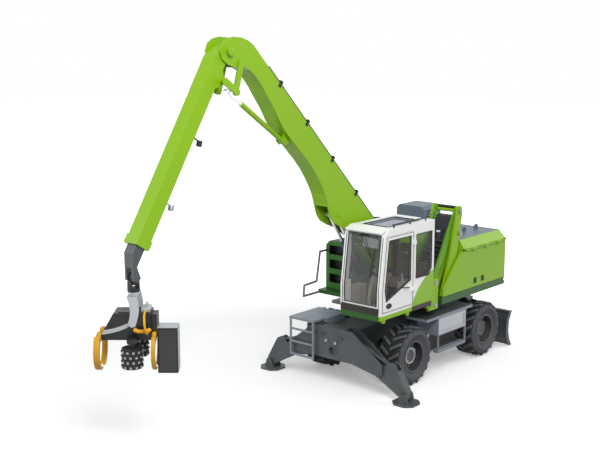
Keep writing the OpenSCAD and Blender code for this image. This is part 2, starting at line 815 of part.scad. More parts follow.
module engine_housing() {
    color(green) place() {
        difference() {
            cover_body(0, cover_front);
            cover_body(cover_t, wall_front - cover_t);
            // Slanted front on the left behind the tower
            side_plate([[cover_front, deck_top - over], [cover_front + over, deck_top - over],
                [cover_front + over, cover_top + over],
                [cover_front - cover_slant, cover_top + over]], upper_w + over, 0);
            // Straight front behind the boom foot and the tank
            block([wall_front, -half_w - over, deck_top - over],
                [cover_front + over, bay_r, cover_top + over]);
            // Air slots in the rear wall and in the right side
            for (i = [0:grille_n - 1]) {
                block([-upper_rear - over, -grille_half, deck_top + engine_h + grille_pitch * (i + 0.5)],
                    [-upper_rear + cover_t + over, grille_half,
                        deck_top + engine_h + grille_pitch * (i + 0.5) + grille_slot]);
                block([-upper_rear + weight_l * 1.5, -half_w - over,
                    deck_top + engine_h / 2 + grille_pitch * i],
                    [wall_front - cover_t * 3, -half_w + cover_t + over,
                        deck_top + engine_h / 2 + grille_pitch * i + grille_slot]);
            }
            // Doorway on the left
            block([-upper_rear + cover_t, half_w - cover_t * 2, deck_top - over],
                [wall_front, half_w + over, door_top - over]);
            block([-upper_rear - over, half_w - cover_t - side_gap, deck_top - over],
                [cover_front + over, half_w + over, door_top + side_gap]);
        }
        // Cooler hood with cut edges and an air slot on its inner side
        difference() {
            cross_plate([[-half_w + cover_edge, cover_top - over], [-hood_in, cover_top - over],
                [-hood_in, cover_top + hood_h - hood_cut],
                [-hood_in - hood_cut, cover_top + hood_h],
                    [-half_w + cover_edge + hood_cut, cover_top + hood_h],
                [-half_w + cover_edge, cover_top + hood_h - hood_cut]], hood_front - hood_back,
                    hood_back);
            for (i = [0:hood_slots - 1])
                block([hood_back + cover_t * 2, -hood_in - cover_t, cover_top + cover_t * (1 + i) * 1.5],
                    [hood_front - cover_t * 2, -hood_in + over,
                        cover_top + cover_t * (1 + i) * 1.5 + grille_slot]);
        }
        // Lifting eyes on the roof
        for (x = [-eye_rear, -eye_front]) difference() {
            side_plate([[x - eye_h, cover_top - over], [x + eye_h, cover_top - over],
                [x + eye_h / 2, cover_top + eye_h],
                [x - eye_h / 2, cover_top + eye_h]], eye_t, eye_y);
            pin_y(x, eye_y, cover_top + eye_h / 2, eye_h / 2, eye_t * 2);
        }
        // Hinge pin of the engine door on two lugs
        pin_x((wall_front - upper_rear) / 2, hinge_y, hinge_z, hinge_d,
            upper_rear + wall_front - cover_t);
        for (x = [-upper_rear + cover_t, wall_front - cover_t])
            block([x - cover_t / 2, half_w - cover_t, hinge_z - hinge_d / 4],
                [x + cover_t / 2, hinge_y, hinge_z + cover_t]);
    }
}

module engine() {
    color(slate) place()
        block([-engine_back, -engine_w / 2, deck_top],
            [-engine_back + engine_l, engine_w / 2, deck_top + engine_h]);
}

module counterweight() {
    color(slate) place()
        block([-upper_rear + cover_t, -half_w + cover_t, deck_top],
            [-upper_rear + cover_t + weight_l, half_w - cover_t * 2, deck_top + engine_h]);
}

module engine_door() {
    knuckle_shares = [0.2, 0.5, 0.8];
    run = upper_rear + wall_front;
    color(green) place() difference() {
        union() {
            side_plate([[-upper_rear, door_low], [door_nose, door_low],
                [door_nose, door_low + cover_edge],
                [door_nose - door_slant, hinge_z - hinge_d], [-upper_rear, hinge_z - hinge_d]], cover_t,
                    half_w - cover_t / 2);
            for (f = knuckle_shares) {
                pin_x(-upper_rear + run * f, hinge_y, hinge_z, hinge_d * 2, hinge_d * 4);
                block([-upper_rear + run * f - hinge_d * 2, half_w - cover_t / 2, hinge_z - hinge_d * 2],
                    [-upper_rear + run * f + hinge_d * 2, hinge_y + hinge_d / 2, hinge_z - hinge_d / 2]);
            }
        }
        pin_x(-upper_rear + run / 2, hinge_y, hinge_z, hinge_d + pin_fit * 2, run);
    }
}

module tank() {
    color(green) place()
        difference() {
            block([tank_rear, -half_w, deck_top], [tank_front, -tank_in, tank_top]);
            block([tank_rear + plate, -half_w + plate, deck_top - over],
                [tank_front - pocket_d - plate, -tank_in - plate, tank_top - plate]);
            for (f = stair_shares)
                block([tank_front - pocket_d, -half_w + pocket_side,
                    deck_top + (tank_top - deck_top) * f],
                    [tank_front + over, -tank_in - pocket_side,
                        deck_top + (tank_top - deck_top) * f + pocket_h]);
            // Cut-back outer edge of the roof
            cross_plate([[-half_w - over, tank_top + over], [-half_w - over, tank_top - tank_cut],
                [-half_w + tank_cut, tank_top + over]],
                tank_front - tank_rear + over * 2, tank_rear - over);
        }
}

rail_y = -1215;
knob_share = 1.06;
rail_top = 2360;
rail_mid = 1750;
rail_low = 1510;
rail_bend = 1320;
rail_fall = 110;
rail_end = 1820;
rail_lean = 20;
rail_pts = [[tank_front, rail_top], [rail_bend, rail_top], [rail_bend + rail_fall, rail_mid],
    [rail_end, rail_mid - rail_lean], [rail_end + rail_lean, rail_low], [deck_front, rail_low]];

module handrail() {
    color(silver) place() for (i = [0:len(rail_pts) - 2]) {
        a = [rail_pts[i][0], rail_y, rail_pts[i][1]];
        b = [rail_pts[i + 1][0], rail_y, rail_pts[i + 1][1]];
        bar(a, b, tube_d);
        if (i < len(rail_pts) - 2) translate(b) sphere(d = tube_d * knob_share);
    }
}

// Cab lift linkage
module arm_frame() {
    translate([tower_x, 0, tower_z]) rotate([0, lift_angle, 0]) children();
}

slat_shares = [0.52, 0.58, 0.64, 0.70, 0.76, 0.82, 0.88];
slat_t = 36;
arm_r = 85;
cross_d = 80;
cross_at = 700;

module lift_arms() {
    color(green) place() {
        for (y = [arm_near, arm_far]) arm_frame() difference() {
            side_plate([[-arm_r, 0], [-arm_r * 0.7, -arm_r * 0.7], [0, -arm_r], [lift_len, -arm_r * 0.8],
                [lift_len + arm_r * 0.8, 0],
                [lift_len, arm_r * 0.8], [0, arm_r], [-arm_r * 0.7, arm_r * 0.7]], arm_t, y);
            pin_y(0, y, 0, lift_pin + pin_fit * 2, arm_t + over);
            pin_y(lift_len, y, 0, lift_pin + pin_fit * 2, arm_t + over);
        }
        arm_frame() {
            pin_y(cross_at, tower_mid_y, 0, cross_d, arm_near - arm_far);
            block([-arm_r, arm_far, -arm_r / 2], [-lift_pin / 2 - side_gap, arm_near, arm_r / 2]);
            for (f = slat_shares)
                translate([lift_len * f, tower_mid_y, 0]) cube([slat_t, arm_near - arm_far, slat_t * 2],
                    center = true);
            for (e = [-1, 1])
                side_plate([[lift_eye_at - lift_pin, -lift_pin / 2], [cross_at, -lift_pin / 2],
                    [cross_at, lift_pin / 2], [lift_eye_at - lift_pin, lift_pin / 2]],
                    plate, tower_mid_y + e * (cab_eye_w / 2 + side_gap + plate / 2));
            ends_y(lift_eye_at, tower_mid_y, 0, cab_pin_d, cab_eye_w + side_gap * 2, plate + pin_end);
        }
    }
}

module lift_links() {
    link_r = 60;
    color(green) place() translate([0, 0, -tower_drop]) {
        for (y = [link_near, link_far]) arm_frame() difference() {
            side_plate([[-link_r, 0], [-link_r * 0.7, -link_r * 0.7], [0, -link_r], [lift_len, -link_r],
                [lift_len + link_r, 0],
                [lift_len, link_r], [0, link_r], [-link_r * 0.7, link_r * 0.7]], link_t, y);
            pin_y(0, y, 0, lift_pin + pin_fit * 2, arm_t + over);
            pin_y(lift_len, y, 0, lift_pin + pin_fit * 2, arm_t + over);
        }
        arm_frame() pin_y(lift_len * 0.6, tower_mid_y, 0, link_r, link_near - link_far);
    }
}

cab_cyl_l = lift_eye_z - cab_cyl_z;
cab_barrel_share = 0.80;
cab_rod_share = 0.10;

module cab_barrel() {
    color(slate) place() translate([lift_eye_x, tower_mid_y, cab_cyl_z]) difference() {
        union() {
            cylinder(d = cab_barrel_d, h = cab_cyl_l * cab_barrel_share);
            rotate([90, 0, 0]) cylinder(d = cab_barrel_d, h = cab_eye_w, center = true);
        }
        rotate([90, 0, 0]) cylinder(d = cab_rod_d + pin_fit * 2, h = cab_barrel_d * 2, center = true);
        translate([0, 0, cab_barrel_d * 0.8]) cylinder(d = cab_rod_d + pin_fit * 2, h = cab_cyl_l);
    }
}

module cab_rod() {
    color(silver) place() translate([lift_eye_x, tower_mid_y, cab_cyl_z]) difference() {
        union() {
            translate([0, 0, cab_cyl_l * cab_rod_share]) cylinder(d = cab_rod_d,
                h = cab_cyl_l * (1 - cab_rod_share) - cab_pin_d / 2);
            translate([0, 0, cab_cyl_l]) rotate([90, 0, 0]) cylinder(d = cab_pin_d * 2, h = cab_eye_w,
                center = true);
        }
        translate([0, 0, cab_cyl_l]) rotate([90, 0, 0]) cylinder(d = cab_pin_d + pin_fit * 2,
            h = cab_eye_w + over, center = true);
    }
}

// Cab sizes
cab_out = half_w;
cab_in = half_w - cab_w;
cab_mid_y = half_w - cab_w / 2;
cab_front = cab_rear + cab_len;
cab_top = cab_floor + cab_h;
base_t = 80;
base_lug = 60;
lug_shares = [0.095, 0.485, 0.925];
base_low = cab_floor - base_t;
cab_ear_back = arm_end_x - arm_r;
ear_toe = 60;
cab_ear_front = cab_rear + ear_toe;
cab_ear_low = arm_end_z - tower_drop - arm_r;
cab_ear_top = arm_end_z + arm_r;
nose_share = 0.30;
brow_share = 0.93;
brow_in = 130;
pillar = 90;
sill_h = 190;
glass_t = 10;
visor_t = 22;
bumper_t = 45;
bumper_h = 150;
roof_rail_d = 30;
roof_rail_h = 55;
roof_rail_in = 70;
roof_rail_shares = [0.12, 0.42, 0.72];
door_back = 1500;
door_front = cab_front - pillar * 0.6;
door_gap = 6;
door_pin = 24;
door_pin_x = door_back - door_pin;
door_pin_y = cab_out + door_pin + over;

// Side outline of the cab, drawn smaller by the wall thickness for its inside
function cab_outline(t) = [[cab_rear + t, cab_floor + t], [cab_front - t, cab_floor + t],
    [cab_front - t, cab_floor + cab_h * nose_share],
        [cab_front - brow_in - t, cab_floor + cab_h * brow_share],
    [cab_front - brow_in * 2 - t, cab_top - t], [cab_rear + t, cab_top - t]];

// Outline of the door opening, grown by a gap
function door_outline(g) = [[door_back - g, cab_floor + cab_t - g],
    [door_front + g, cab_floor + cab_t - g],
    [door_front + g, cab_floor + cab_h * nose_share],
        [door_front - brow_in + g, cab_floor + cab_h * 0.92 + g],
    [door_back - g, cab_floor + cab_h * 0.92 + g]];

// Outline of the pane in the door
function door_pane(g) = [[door_back + pillar + g, cab_floor + cab_h * 0.34 + g],
    [door_front - pillar * 1.4 - g, cab_floor + cab_h * 0.16 + g],
    [door_front - pillar - g, cab_floor + cab_h * nose_share],
        [door_front - brow_in - pillar * 0.8 - g, cab_floor + cab_h * 0.87 - g],
    [door_back + pillar + g, cab_floor + cab_h * 0.87 - g]];

// Outline of the small side window behind the door
function side_pane() = [[cab_rear + pillar, cab_floor + cab_h * 0.42],
    [cab_rear + pillar * 2, cab_floor + cab_h * 0.34],
    [door_back - pillar, cab_floor + cab_h * 0.34], [door_back - pillar, cab_floor + cab_h * 0.87],
        [cab_rear + pillar, cab_floor + cab_h * 0.87]];

// Outline of the large window on the side towards the boom
function right_pane() = [[cab_rear + pillar, cab_floor + cab_h * 0.34],
    [cab_front - pillar * 2, cab_floor + cab_h * 0.34],
    [cab_front - brow_in - pillar * 2, cab_floor + cab_h * 0.87],
        [cab_rear + pillar, cab_floor + cab_h * 0.87]];

module cab_base() {
    color(green) place() {
        block([cab_rear, cab_in, base_low], [cab_front, cab_out, cab_floor]);
        for (y = [tower_near, tower_far])
            side_plate([[cab_ear_back, cab_ear_low], [cab_ear_front, cab_ear_low],
                [cab_rear + over, base_low], [cab_rear + over, cab_floor],
                [cab_rear, cab_floor], [cab_rear, cab_ear_top], [cab_ear_back, cab_ear_top]], tower_t, y);
        // Cross beams with lugs that show below the floor
        for (f = lug_shares) {
            block([cab_rear + cab_len * f - base_lug, cab_in, base_low - base_lug / 2],
                [cab_rear + cab_len * f + base_lug, cab_out - base_lug, base_low + over]);
            block([cab_rear + cab_len * f - base_lug / 2, cab_out - base_lug - over, base_low - base_lug],
                [cab_rear + cab_len * f + base_lug / 2, cab_out, base_low + over]);
        }
        pin_y(arm_end_x, tower_mid_y, arm_end_z, lift_pin, tower_near - tower_far + tower_t);
        pin_y(arm_end_x, tower_mid_y, arm_end_z - tower_drop, lift_pin, tower_near - tower_far + tower_t);
    }
}

module front_pane(d0, d1, y0, y1) {
    // Slice of the curved front between two depths behind its outer face
    translate([0, (y0 + y1) / 2, 0]) rotate([90, 0, 0]) linear_extrude(y1 - y0, center = true) polygon([
        [cab_front - d0, cab_floor + sill_h], [cab_front - d0, cab_floor + cab_h * nose_share],
        [cab_front - brow_in - d0, cab_floor + cab_h * brow_share],
            [cab_front - brow_in - d1, cab_floor + cab_h * brow_share],
        [cab_front - d1, cab_floor + cab_h * nose_share], [cab_front - d1, cab_floor + sill_h]]);
}

module cab_shell() {
    color(white) place() {
        difference() {
            side_plate(cab_outline(0), cab_w, cab_mid_y);
            side_plate(cab_outline(cab_t), cab_w - cab_t * 2, cab_mid_y);
            side_plate(door_outline(door_gap), cab_t * 3, cab_out);
            side_plate(side_pane(), cab_t * 3, cab_out);
            side_plate(right_pane(), cab_t * 3, cab_in);
            front_pane(-over, cab_t + over, cab_in + pillar, cab_out - pillar);
            block([cab_rear - over, cab_in + pillar, cab_floor + cab_h * 0.45],
                [cab_rear + cab_t + over, cab_out - pillar, cab_floor + cab_h * 0.87]);
            block([cab_rear + pillar * 3, cab_in + pillar * 2, cab_top - cab_t - over],
                [cab_front - pillar * 5, cab_out - pillar * 2, cab_top + over]);
        }
        // Sun visor above the windscreen
        side_plate([[cab_front - brow_in * 2 - visor_t, cab_top - over],
            [cab_front - brow_in / 2, cab_top - brow_in / 2],
            [cab_front - brow_in / 2, cab_top - brow_in / 2 + visor_t],
                [cab_front - brow_in * 2 - visor_t, cab_top + visor_t]],
            cab_w - pillar, cab_mid_y);
        // Hinge pin of the door on two lugs
        translate([door_pin_x, door_pin_y, cab_floor + cab_h * 0.12]) cylinder(d = door_pin,
            h = cab_h * 0.76);
        for (f = [0.12, 0.86])
            block([door_pin_x - door_pin, cab_out - cab_t / 2, cab_floor + cab_h * f],
                [door_pin_x + door_pin / 2, door_pin_y, cab_floor + cab_h * (f + 0.02)]);
    }
}

module cab_glass() {
    color(glass) place() {
        side_plate(side_pane(), glass_t, cab_out - cab_t / 2);
        side_plate(right_pane(), glass_t, cab_in + cab_t / 2);
        front_pane(glass_t, glass_t * 2, cab_in + pillar, cab_out - pillar);
        block([cab_rear + cab_t / 2, cab_in + pillar, cab_floor + cab_h * 0.45],
            [cab_rear + cab_t / 2 + glass_t, cab_out - pillar, cab_floor + cab_h * 0.87]);
        block([cab_rear + pillar * 3, cab_in + pillar * 2, cab_top - cab_t / 2 - glass_t],
            [cab_front - pillar * 5, cab_out - pillar * 2, cab_top - cab_t / 2]);
    }
}

module cab_door() {
    color(white) place() difference() {
        union() {
            side_plate(door_outline(0), cab_t, cab_out - cab_t / 2);
            for (f = [0.2, 0.76]) {
                translate([door_pin_x, door_pin_y, cab_floor + cab_h * f]) cylinder(d = door_pin * 2,
                    h = cab_h * 0.05);
                block([door_pin_x, door_pin_y, cab_floor + cab_h * f],
                    [door_back + door_pin * 2, door_pin_y + door_pin / 2,
                    cab_floor + cab_h * (f + 0.05)]);
                block([door_back + door_gap, cab_out - over, cab_floor + cab_h * f],
                    [door_back + door_pin * 2, door_pin_y + door_pin / 2,
                    cab_floor + cab_h * (f + 0.05)]);
            }
        }
        side_plate(door_pane(0), cab_t * 3, cab_out);
        translate([door_pin_x, door_pin_y, cab_floor]) cylinder(d = door_pin + pin_fit * 2, h = cab_h);
    }
}

module door_glass() {
    color(glass) place() side_plate(door_pane(0), glass_t, cab_out - cab_t / 2);
}

// Bumper under the windscreen, rail on the roof and step edge of the floor
module cab_trim() {
    color(black) place() {
        block([cab_front, cab_in + pillar / 2, base_low],
            [cab_front + bumper_t, cab_out - pillar / 2, cab_floor + bumper_h]);
        for (f = roof_rail_shares)
            translate([cab_rear + cab_len * f, cab_out - roof_rail_in, cab_top]) cylinder(d = roof_rail_d,
                h = roof_rail_h);
        pin_x(cab_rear + cab_len * (roof_rail_shares[0] + roof_rail_shares[2]) / 2,
            cab_out - roof_rail_in, cab_top + roof_rail_h,
            roof_rail_d * knob_share,
                cab_len * (roof_rail_shares[2] - roof_rail_shares[0]) + roof_rail_d * 2);
        block([cab_rear + pillar, cab_out, base_low],
            [door_back, cab_out + bumper_t / 2, cab_floor - over]);
    }
}

seat_x = 1130;
seat_w = 500;
seat_h = 420;
seat_back_h = 1080;
seat_t = 130;

module seat() {
    color(black) place() {
        block([seat_x, cab_mid_y - seat_w / 2, cab_floor + cab_t + seat_h - seat_t],
            [seat_x + seat_w, cab_mid_y + seat_w / 2, cab_floor + cab_t + seat_h]);
        block([seat_x - seat_t, cab_mid_y - seat_w / 2, cab_floor + cab_t + seat_h - seat_t],
            [seat_x + over, cab_mid_y + seat_w / 2, cab_floor + cab_t + seat_back_h]);
        block([seat_x, cab_mid_y - seat_w / 4, cab_floor + cab_t],
            [seat_x + seat_w * 0.8, cab_mid_y + seat_w / 4, cab_floor + cab_t + seat_h - seat_t + over]);
        for (s = [-1, 1])
            block([seat_x, cab_mid_y + s * seat_w * 0.64 - seat_t / 2, cab_floor + cab_t],
                [seat_x + seat_w * 1.2, cab_mid_y + s * seat_w * 0.64 + seat_t / 2,
                cab_floor + cab_t + seat_h + seat_t]);
    }
}

// Boom sizes, in its own frame from the foot pin towards the stick pin
boom_outline_shares = [[-0.0229, -0.0092], [-0.0092, -0.0229], [0.0092, -0.0252], [0.1529, -0.0359],
    [0.2446, -0.0459],
    [0.2890, -0.0545], [0.3211, -0.0673], [0.3521, -0.0757], [0.3746, -0.0734], [0.3884, -0.0680],
        [0.4128, -0.0535],
    [0.4399, -0.0391], [0.4664, -0.0306], [0.4951, -0.0234], [0.5275, -0.0176], [0.5667, -0.0145],
        [0.6356, -0.0141],
    [0.6728, -0.0138], [0.7035, -0.0127], [0.7339, -0.0061], [0.7729, 0.0041], [0.8142, 0.0107],
        [0.8410, 0.0161],
    [0.8631, 0.0191], [0.8869, 0.0196], [0.9061, 0.0180], [0.9251, 0.0122], [0.9373, 0.0031],
        [0.9480, -0.0092],
    [0.9786, -0.0245], [1.0000, -0.0283], [1.0214, -0.0199], [1.0291, 0], [1.0229, 0.0214],
        [1.0092, 0.0398],
    [0.9862, 0.0581], [0.9633, 0.0688], [0.9428, 0.0737], [0.2015, 0.0439], [0.0917, 0.0352],
        [0.0092, 0.0252],
    [-0.0092, 0.0229], [-0.0229, 0.0092]];
pocket_shares = [[0.150, -0.1], [0.415, -0.1], [0.400, -0.030], [0.355, -0.018], [0.190, -0.018]];
boom_skin = 25;
rib_shares = [0.30, 0.33, 0.36];
rib_z_share = 0.012;
rib_h_share = 0.016;
lift_at_shares = [0.3471, -0.0453];
lift_at = boom_len * lift_at_shares;
lift_cyl_y = 85;
lift_barrel_d = 112;
lift_rod_d = 70;
lift_eye_d = 140;
lift_eye_w = 110;
rocker_back = 340;
rocker_up = 50;
rocker_at = [boom_len - rocker_back, rocker_up];
rocker_lean = 223;
rocker_drop = 448;
rocker_arm = [-rocker_lean, -rocker_drop];
rocker_pin = 60;
rocker_r = 58;
stick_pin = 110;
fork_back = 315;
fork_at = boom_len - fork_back;
cyl_back = 2190;
cyl_drop = 150;
cyl_at = [boom_len - cyl_back, -cyl_drop];
stick_barrel_d = 110;
stick_rod_d = 64;
stick_eye_w = 90;
stick_eye_d = 110;
rocker_y = boom_w / 2 + side_gap + plate / 2;
coupler_y = rocker_y + plate + side_gap;
boom_foot = [boom_foot_x, 0, boom_foot_z];
stick_foot = boom_foot + boom_len * [cos(boom_angle), 0, sin(boom_angle)];

// Outline drawn smaller by d on every side, for points that run anticlockwise
function unit(v) = v / norm(v);
function inset(points, d) = let (n = len(points)) [for (i = [0:n - 1])
    let (u = unit(points[i] - points[(i + n - 1) % n]), w = unit(points[(i + 1) % n] - points[i]),
        a = [-u[1], u[0]], b = [-w[1], w[0]]) points[i] + d * (a + b) / (1 + a * b)];

// Point of the boom frame in machine coordinates
function boom_point(p) = boom_foot + [p[0] * cos(boom_angle) - p[1] * sin(boom_angle), 0,
    p[0] * sin(boom_angle) + p[1] * cos(boom_angle)];

module boom_frame() {
    translate(boom_foot) rotate([0, -boom_angle, 0]) children();
}

module boom() {
    color(green) place() boom_frame() {
        difference() {
            side_plate(boom_len * boom_outline_shares, boom_w, 0);
            side_plate(boom_len * pocket_shares, boom_w - boom_skin * 2, 0);
            // Hollow of the box, kept clear of the foot
            intersection() {
                side_plate(inset(boom_len * boom_outline_shares, boom_skin), boom_w - boom_skin * 2, 0);
                translate([boom_w, -boom_w, -boom_len]) cube([boom_len, boom_w * 2, boom_len * 2]);
            }
            translate([fork_at, -stick_w / 2 - side_gap, -boom_w * 2]) cube([boom_len,
                stick_w + side_gap * 2, boom_w * 4]);
            pin_y(0, 0, 0, boom_pin_d + pin_fit * 2, boom_w + over);
        }
        // Cross ribs in the open pocket above the cylinders
        for (f = rib_shares)
            translate([boom_len * f, 0, boom_len * rib_z_share]) cube([plate, boom_w - boom_skin,
                boom_len * rib_h_share], center = true);
        pin_y(boom_len, 0, 0, stick_pin, boom_w);
        ends_y(lift_at[0], 0, lift_at[1], lift_pin_d, boom_w - boom_skin * 2, boom_skin * 2);
        for (s = [-1, 1]) {
            pin_y(rocker_at[0], s * (rocker_y + boom_w / 2 - plate) / 2, rocker_at[1], rocker_pin,
                rocker_y - boom_w / 2 + plate * 2);
            side_plate([[cyl_at[0] - stick_eye_d * 1.5, 0], [cyl_at[0] + stick_eye_d * 1.5, 0],
                [cyl_at[0] + stick_eye_d / 2, cyl_at[1] - stick_eye_d / 2],
                [cyl_at[0] - stick_eye_d / 2, cyl_at[1] - stick_eye_d / 2]], plate,
                    s * (stick_eye_w / 2 + side_gap + plate / 2));
        }
        pin_y(cyl_at[0], 0, cyl_at[1], stick_rod_d, stick_eye_w + (side_gap + plate) * 2);
    }
}

// Pipes along the upper edge of the boom, with the straight edge as their own length
edge_low = boom_len * boom_outline_shares[38];
edge_high = boom_len * boom_outline_shares[37];
pipe_d = 38;
pipe_off = [70, 120];
clamp_t = 12;
clamp_l = 60;
clamp_h = 60;
clamp_shares = [0.17, 0.38, 0.59, 0.80];
pipe_shares = [0.01, 0.88];

module boom_pipes() {
    run = norm(edge_high - edge_low);
    color(black) place() boom_frame() translate([edge_low[0], 0, edge_low[1]])
        rotate([0, -atan2(edge_high[1] - edge_low[1], edge_high[0] - edge_low[0]), 0]) {
            for (y = pipe_off)
                pin_x(run * (pipe_shares[0] + pipe_shares[1]) / 2, y, pipe_d, pipe_d,
                    run * (pipe_shares[1] - pipe_shares[0]));
            for (f = clamp_shares) {
                block([run * f - clamp_l / 2, pipe_off[0] - pipe_d, 0],
                    [run * f + clamp_l / 2, boom_w / 2 + clamp_t, clamp_h]);
                block([run * f - clamp_l / 2, boom_w / 2, -clamp_h],
                    [run * f + clamp_l / 2, boom_w / 2 + clamp_t, over]);
            }
        }
}

lift_base = [lift_base_x, 0, lift_base_z];
lift_eye = boom_point(lift_at);
lift_cyl_l = norm(lift_eye - lift_base);
lift_barrel_share = 0.66;
lift_rod_share = 0.45;

module lift_barrels() {
    color(slate) place() for (s = [-1, 1]) translate([0, s * lift_cyl_y, 0]) difference() {
        union() {
            along(lift_base, lift_eye) cylinder(d = lift_barrel_d, h = lift_cyl_l * lift_barrel_share);
            pin_y(lift_base_x, 0, lift_base_z, lift_eye_d, lift_eye_w);
        }
        pin_y(lift_base_x, 0, lift_base_z, lift_pin_d + pin_fit * 2, lift_eye_w * 2);
        along(lift_base, lift_eye) translate([0, 0, lift_eye_d]) cylinder(d = lift_rod_d + pin_fit * 2,
            h = lift_cyl_l);
    }
}

module lift_rods() {
    color(silver) place() for (s = [-1, 1]) translate([0, s * lift_cyl_y, 0]) difference() {
        union() {
            along(lift_base, lift_eye) translate([0, 0, lift_cyl_l * lift_rod_share])
                cylinder(d = lift_rod_d, h = lift_cyl_l * (1 - lift_rod_share) - lift_eye_d / 4);
            pin_y(lift_eye[0], 0, lift_eye[2], lift_eye_d, lift_eye_w);
        }
        pin_y(lift_eye[0], 0, lift_eye[2], lift_pin_d + pin_fit * 2, lift_eye_w * 2);
    }
}

stick_base = boom_point(cyl_at);
stick_eye = boom_point(rocker_at + rocker_arm);
stick_cyl_l = norm(stick_eye - stick_base);
stick_barrel_share = 0.76;
stick_rod_share = 0.28;

module stick_barrel() {
    color(slate) place() difference() {
        union() {
            along(stick_base, stick_eye) cylinder(d = stick_barrel_d - side_gap * 2,
                h = stick_cyl_l * stick_barrel_share);
            pin_y(stick_base[0], 0, stick_base[2], stick_eye_d, stick_eye_w);
        }
        pin_y(stick_base[0], 0, stick_base[2], stick_rod_d + pin_fit * 2, stick_eye_w * 2);
        along(stick_base, stick_eye) translate([0, 0,
            stick_eye_d]) cylinder(d = stick_rod_d + pin_fit * 2, h = stick_cyl_l);
    }
}

module stick_rod() {
    color(silver) place() difference() {
        union() {
            along(stick_base, stick_eye) translate([0, 0, stick_cyl_l * stick_rod_share])
                cylinder(d = stick_rod_d, h = stick_cyl_l * (1 - stick_rod_share) - stick_eye_d / 4);
            pin_y(stick_eye[0], 0, stick_eye[2], stick_eye_d, stick_eye_w);
        }
        pin_y(stick_eye[0], 0, stick_eye[2], rocker_pin + pin_fit * 2, stick_eye_w * 2);
    }
}

// Flat link with round ends between two points of one upright plane
module link_plate(a, b, r, t, y) {
    v = b - a;
    n = r * [-v[2], 0, v[0]] / norm(v);
    side_plate([[a[0] + n[0], a[2] + n[2]], [a[0] - n[0], a[2] - n[2]], [b[0] - n[0], b[2] - n[2]],
        [b[0] + n[0], b[2] + n[2]]], t, y);
    pin_y(a[0], y, a[2], r * 2, t);
    pin_y(b[0], y, b[2], r * 2, t);
}

module rocker() {
    a = boom_point(rocker_at);
    b = boom_point(rocker_at + rocker_arm);
    color(green) place() for (s = [-1, 1]) {
        difference() {
            link_plate(a, b, rocker_r, plate, s * rocker_y);
            pin_y(a[0], s * rocker_y, a[2], rocker_pin + pin_fit * 2, plate + over);
        }
    }
    // Ends of the pin at the rod eye that also carry the coupler
    color(green) place() ends_y(b[0], 0, b[2], rocker_pin, rocker_y * 2 - plate,
        coupler_y - rocker_y + plate);
}

module coupler() {
    b = boom_point(rocker_at + rocker_arm);
    c = b + stick_foot - boom_point(rocker_at);
    color(green) place() for (s = [-1, 1]) difference() {
        link_plate(b, c, rocker_r, plate, s * coupler_y);
        pin_y(b[0], s * coupler_y, b[2], rocker_pin + pin_fit * 2, plate + over);
        pin_y(c[0], s * coupler_y, c[2], rocker_pin + pin_fit * 2, plate + over);
    }
}

// Stick sizes, in its own frame from its pin towards the head
stick_off = 40;
stick_start = 120;
stick_skin = 22;
inner_w = 210;
inner_d = 190;
inner_start = 560;
collar_l = 150;
collar_t = 16;
slide_fit = 0.3;
tip_reach = 440;
tip_drop = 146;
tip_at = [stick_len + tip_reach, -tip_drop];
tip_pin = 60;
tip_r = 70;
link_half_x = 55;
link_half_y = 45;
lever_c = boom_point(rocker_at + rocker_arm) + stick_foot - boom_point(rocker_at) - stick_foot;
lever_at = [lever_c[0] * cos(stick_angle) - lever_c[2] * sin(stick_angle),
    lever_c[0] * sin(stick_angle) + lever_c[2] * cos(stick_angle)];
tip_point = stick_foot + [tip_at[0] * cos(stick_angle) + tip_at[1] * sin(stick_angle), 0,
    tip_at[1] * cos(stick_angle) - tip_at[0] * sin(stick_angle)];

module stick_frame() {
    translate(stick_foot) rotate([0, stick_angle, 0]) children();
}

module stick() {
    lo = stick_off - stick_d / 2;
    hi = stick_off + stick_d / 2;
    r = stick_pin;
    ear_y = stick_w / 2 - plate / 2;
    color(green) place() stick_frame() {
        difference() {
            union() {
                side_plate([[-r, 0], [-r * 0.7, -r * 0.7], [0, -r], [stick_start * 2, lo],
                    [stick_len, lo], [stick_len, hi], [stick_start * 1.5, hi],
                    [0, r], [-r * 0.7, r * 0.7]], stick_w, 0);
                translate([stick_len - collar_l, -stick_w / 2 - collar_t, lo - collar_t]) cube([collar_l,
                    stick_w + collar_t * 2, stick_d + collar_t * 2]);
            }
            pin_y(0, 0, 0, stick_pin + pin_fit * 2, stick_w + over);
            translate([stick_start * 4, -stick_w / 2 + stick_skin,
                lo + stick_skin]) cube([stick_len - stick_start * 4 - collar_l, stick_w - stick_skin * 2,
                stick_d - stick_skin * 2]);
            translate([stick_start * 4, -inner_w / 2 - slide_fit,
                stick_off - inner_d / 2 - slide_fit]) cube([stick_len, inner_w + slide_fit * 2,
                inner_d + slide_fit * 2]);
        }
        for (s = [-1, 1])
            side_plate([[lever_at[0] - rocker_r * 3, lo + over], [lever_at[0] + rocker_r * 3, lo + over],
                [lever_at[0] + rocker_r, lever_at[1] - rocker_r],
                [lever_at[0] - rocker_r, lever_at[1] - rocker_r]], plate, s * ear_y);
        pin_y(lever_at[0], 0, lever_at[1], rocker_pin, coupler_y * 2 + plate);
    }
}

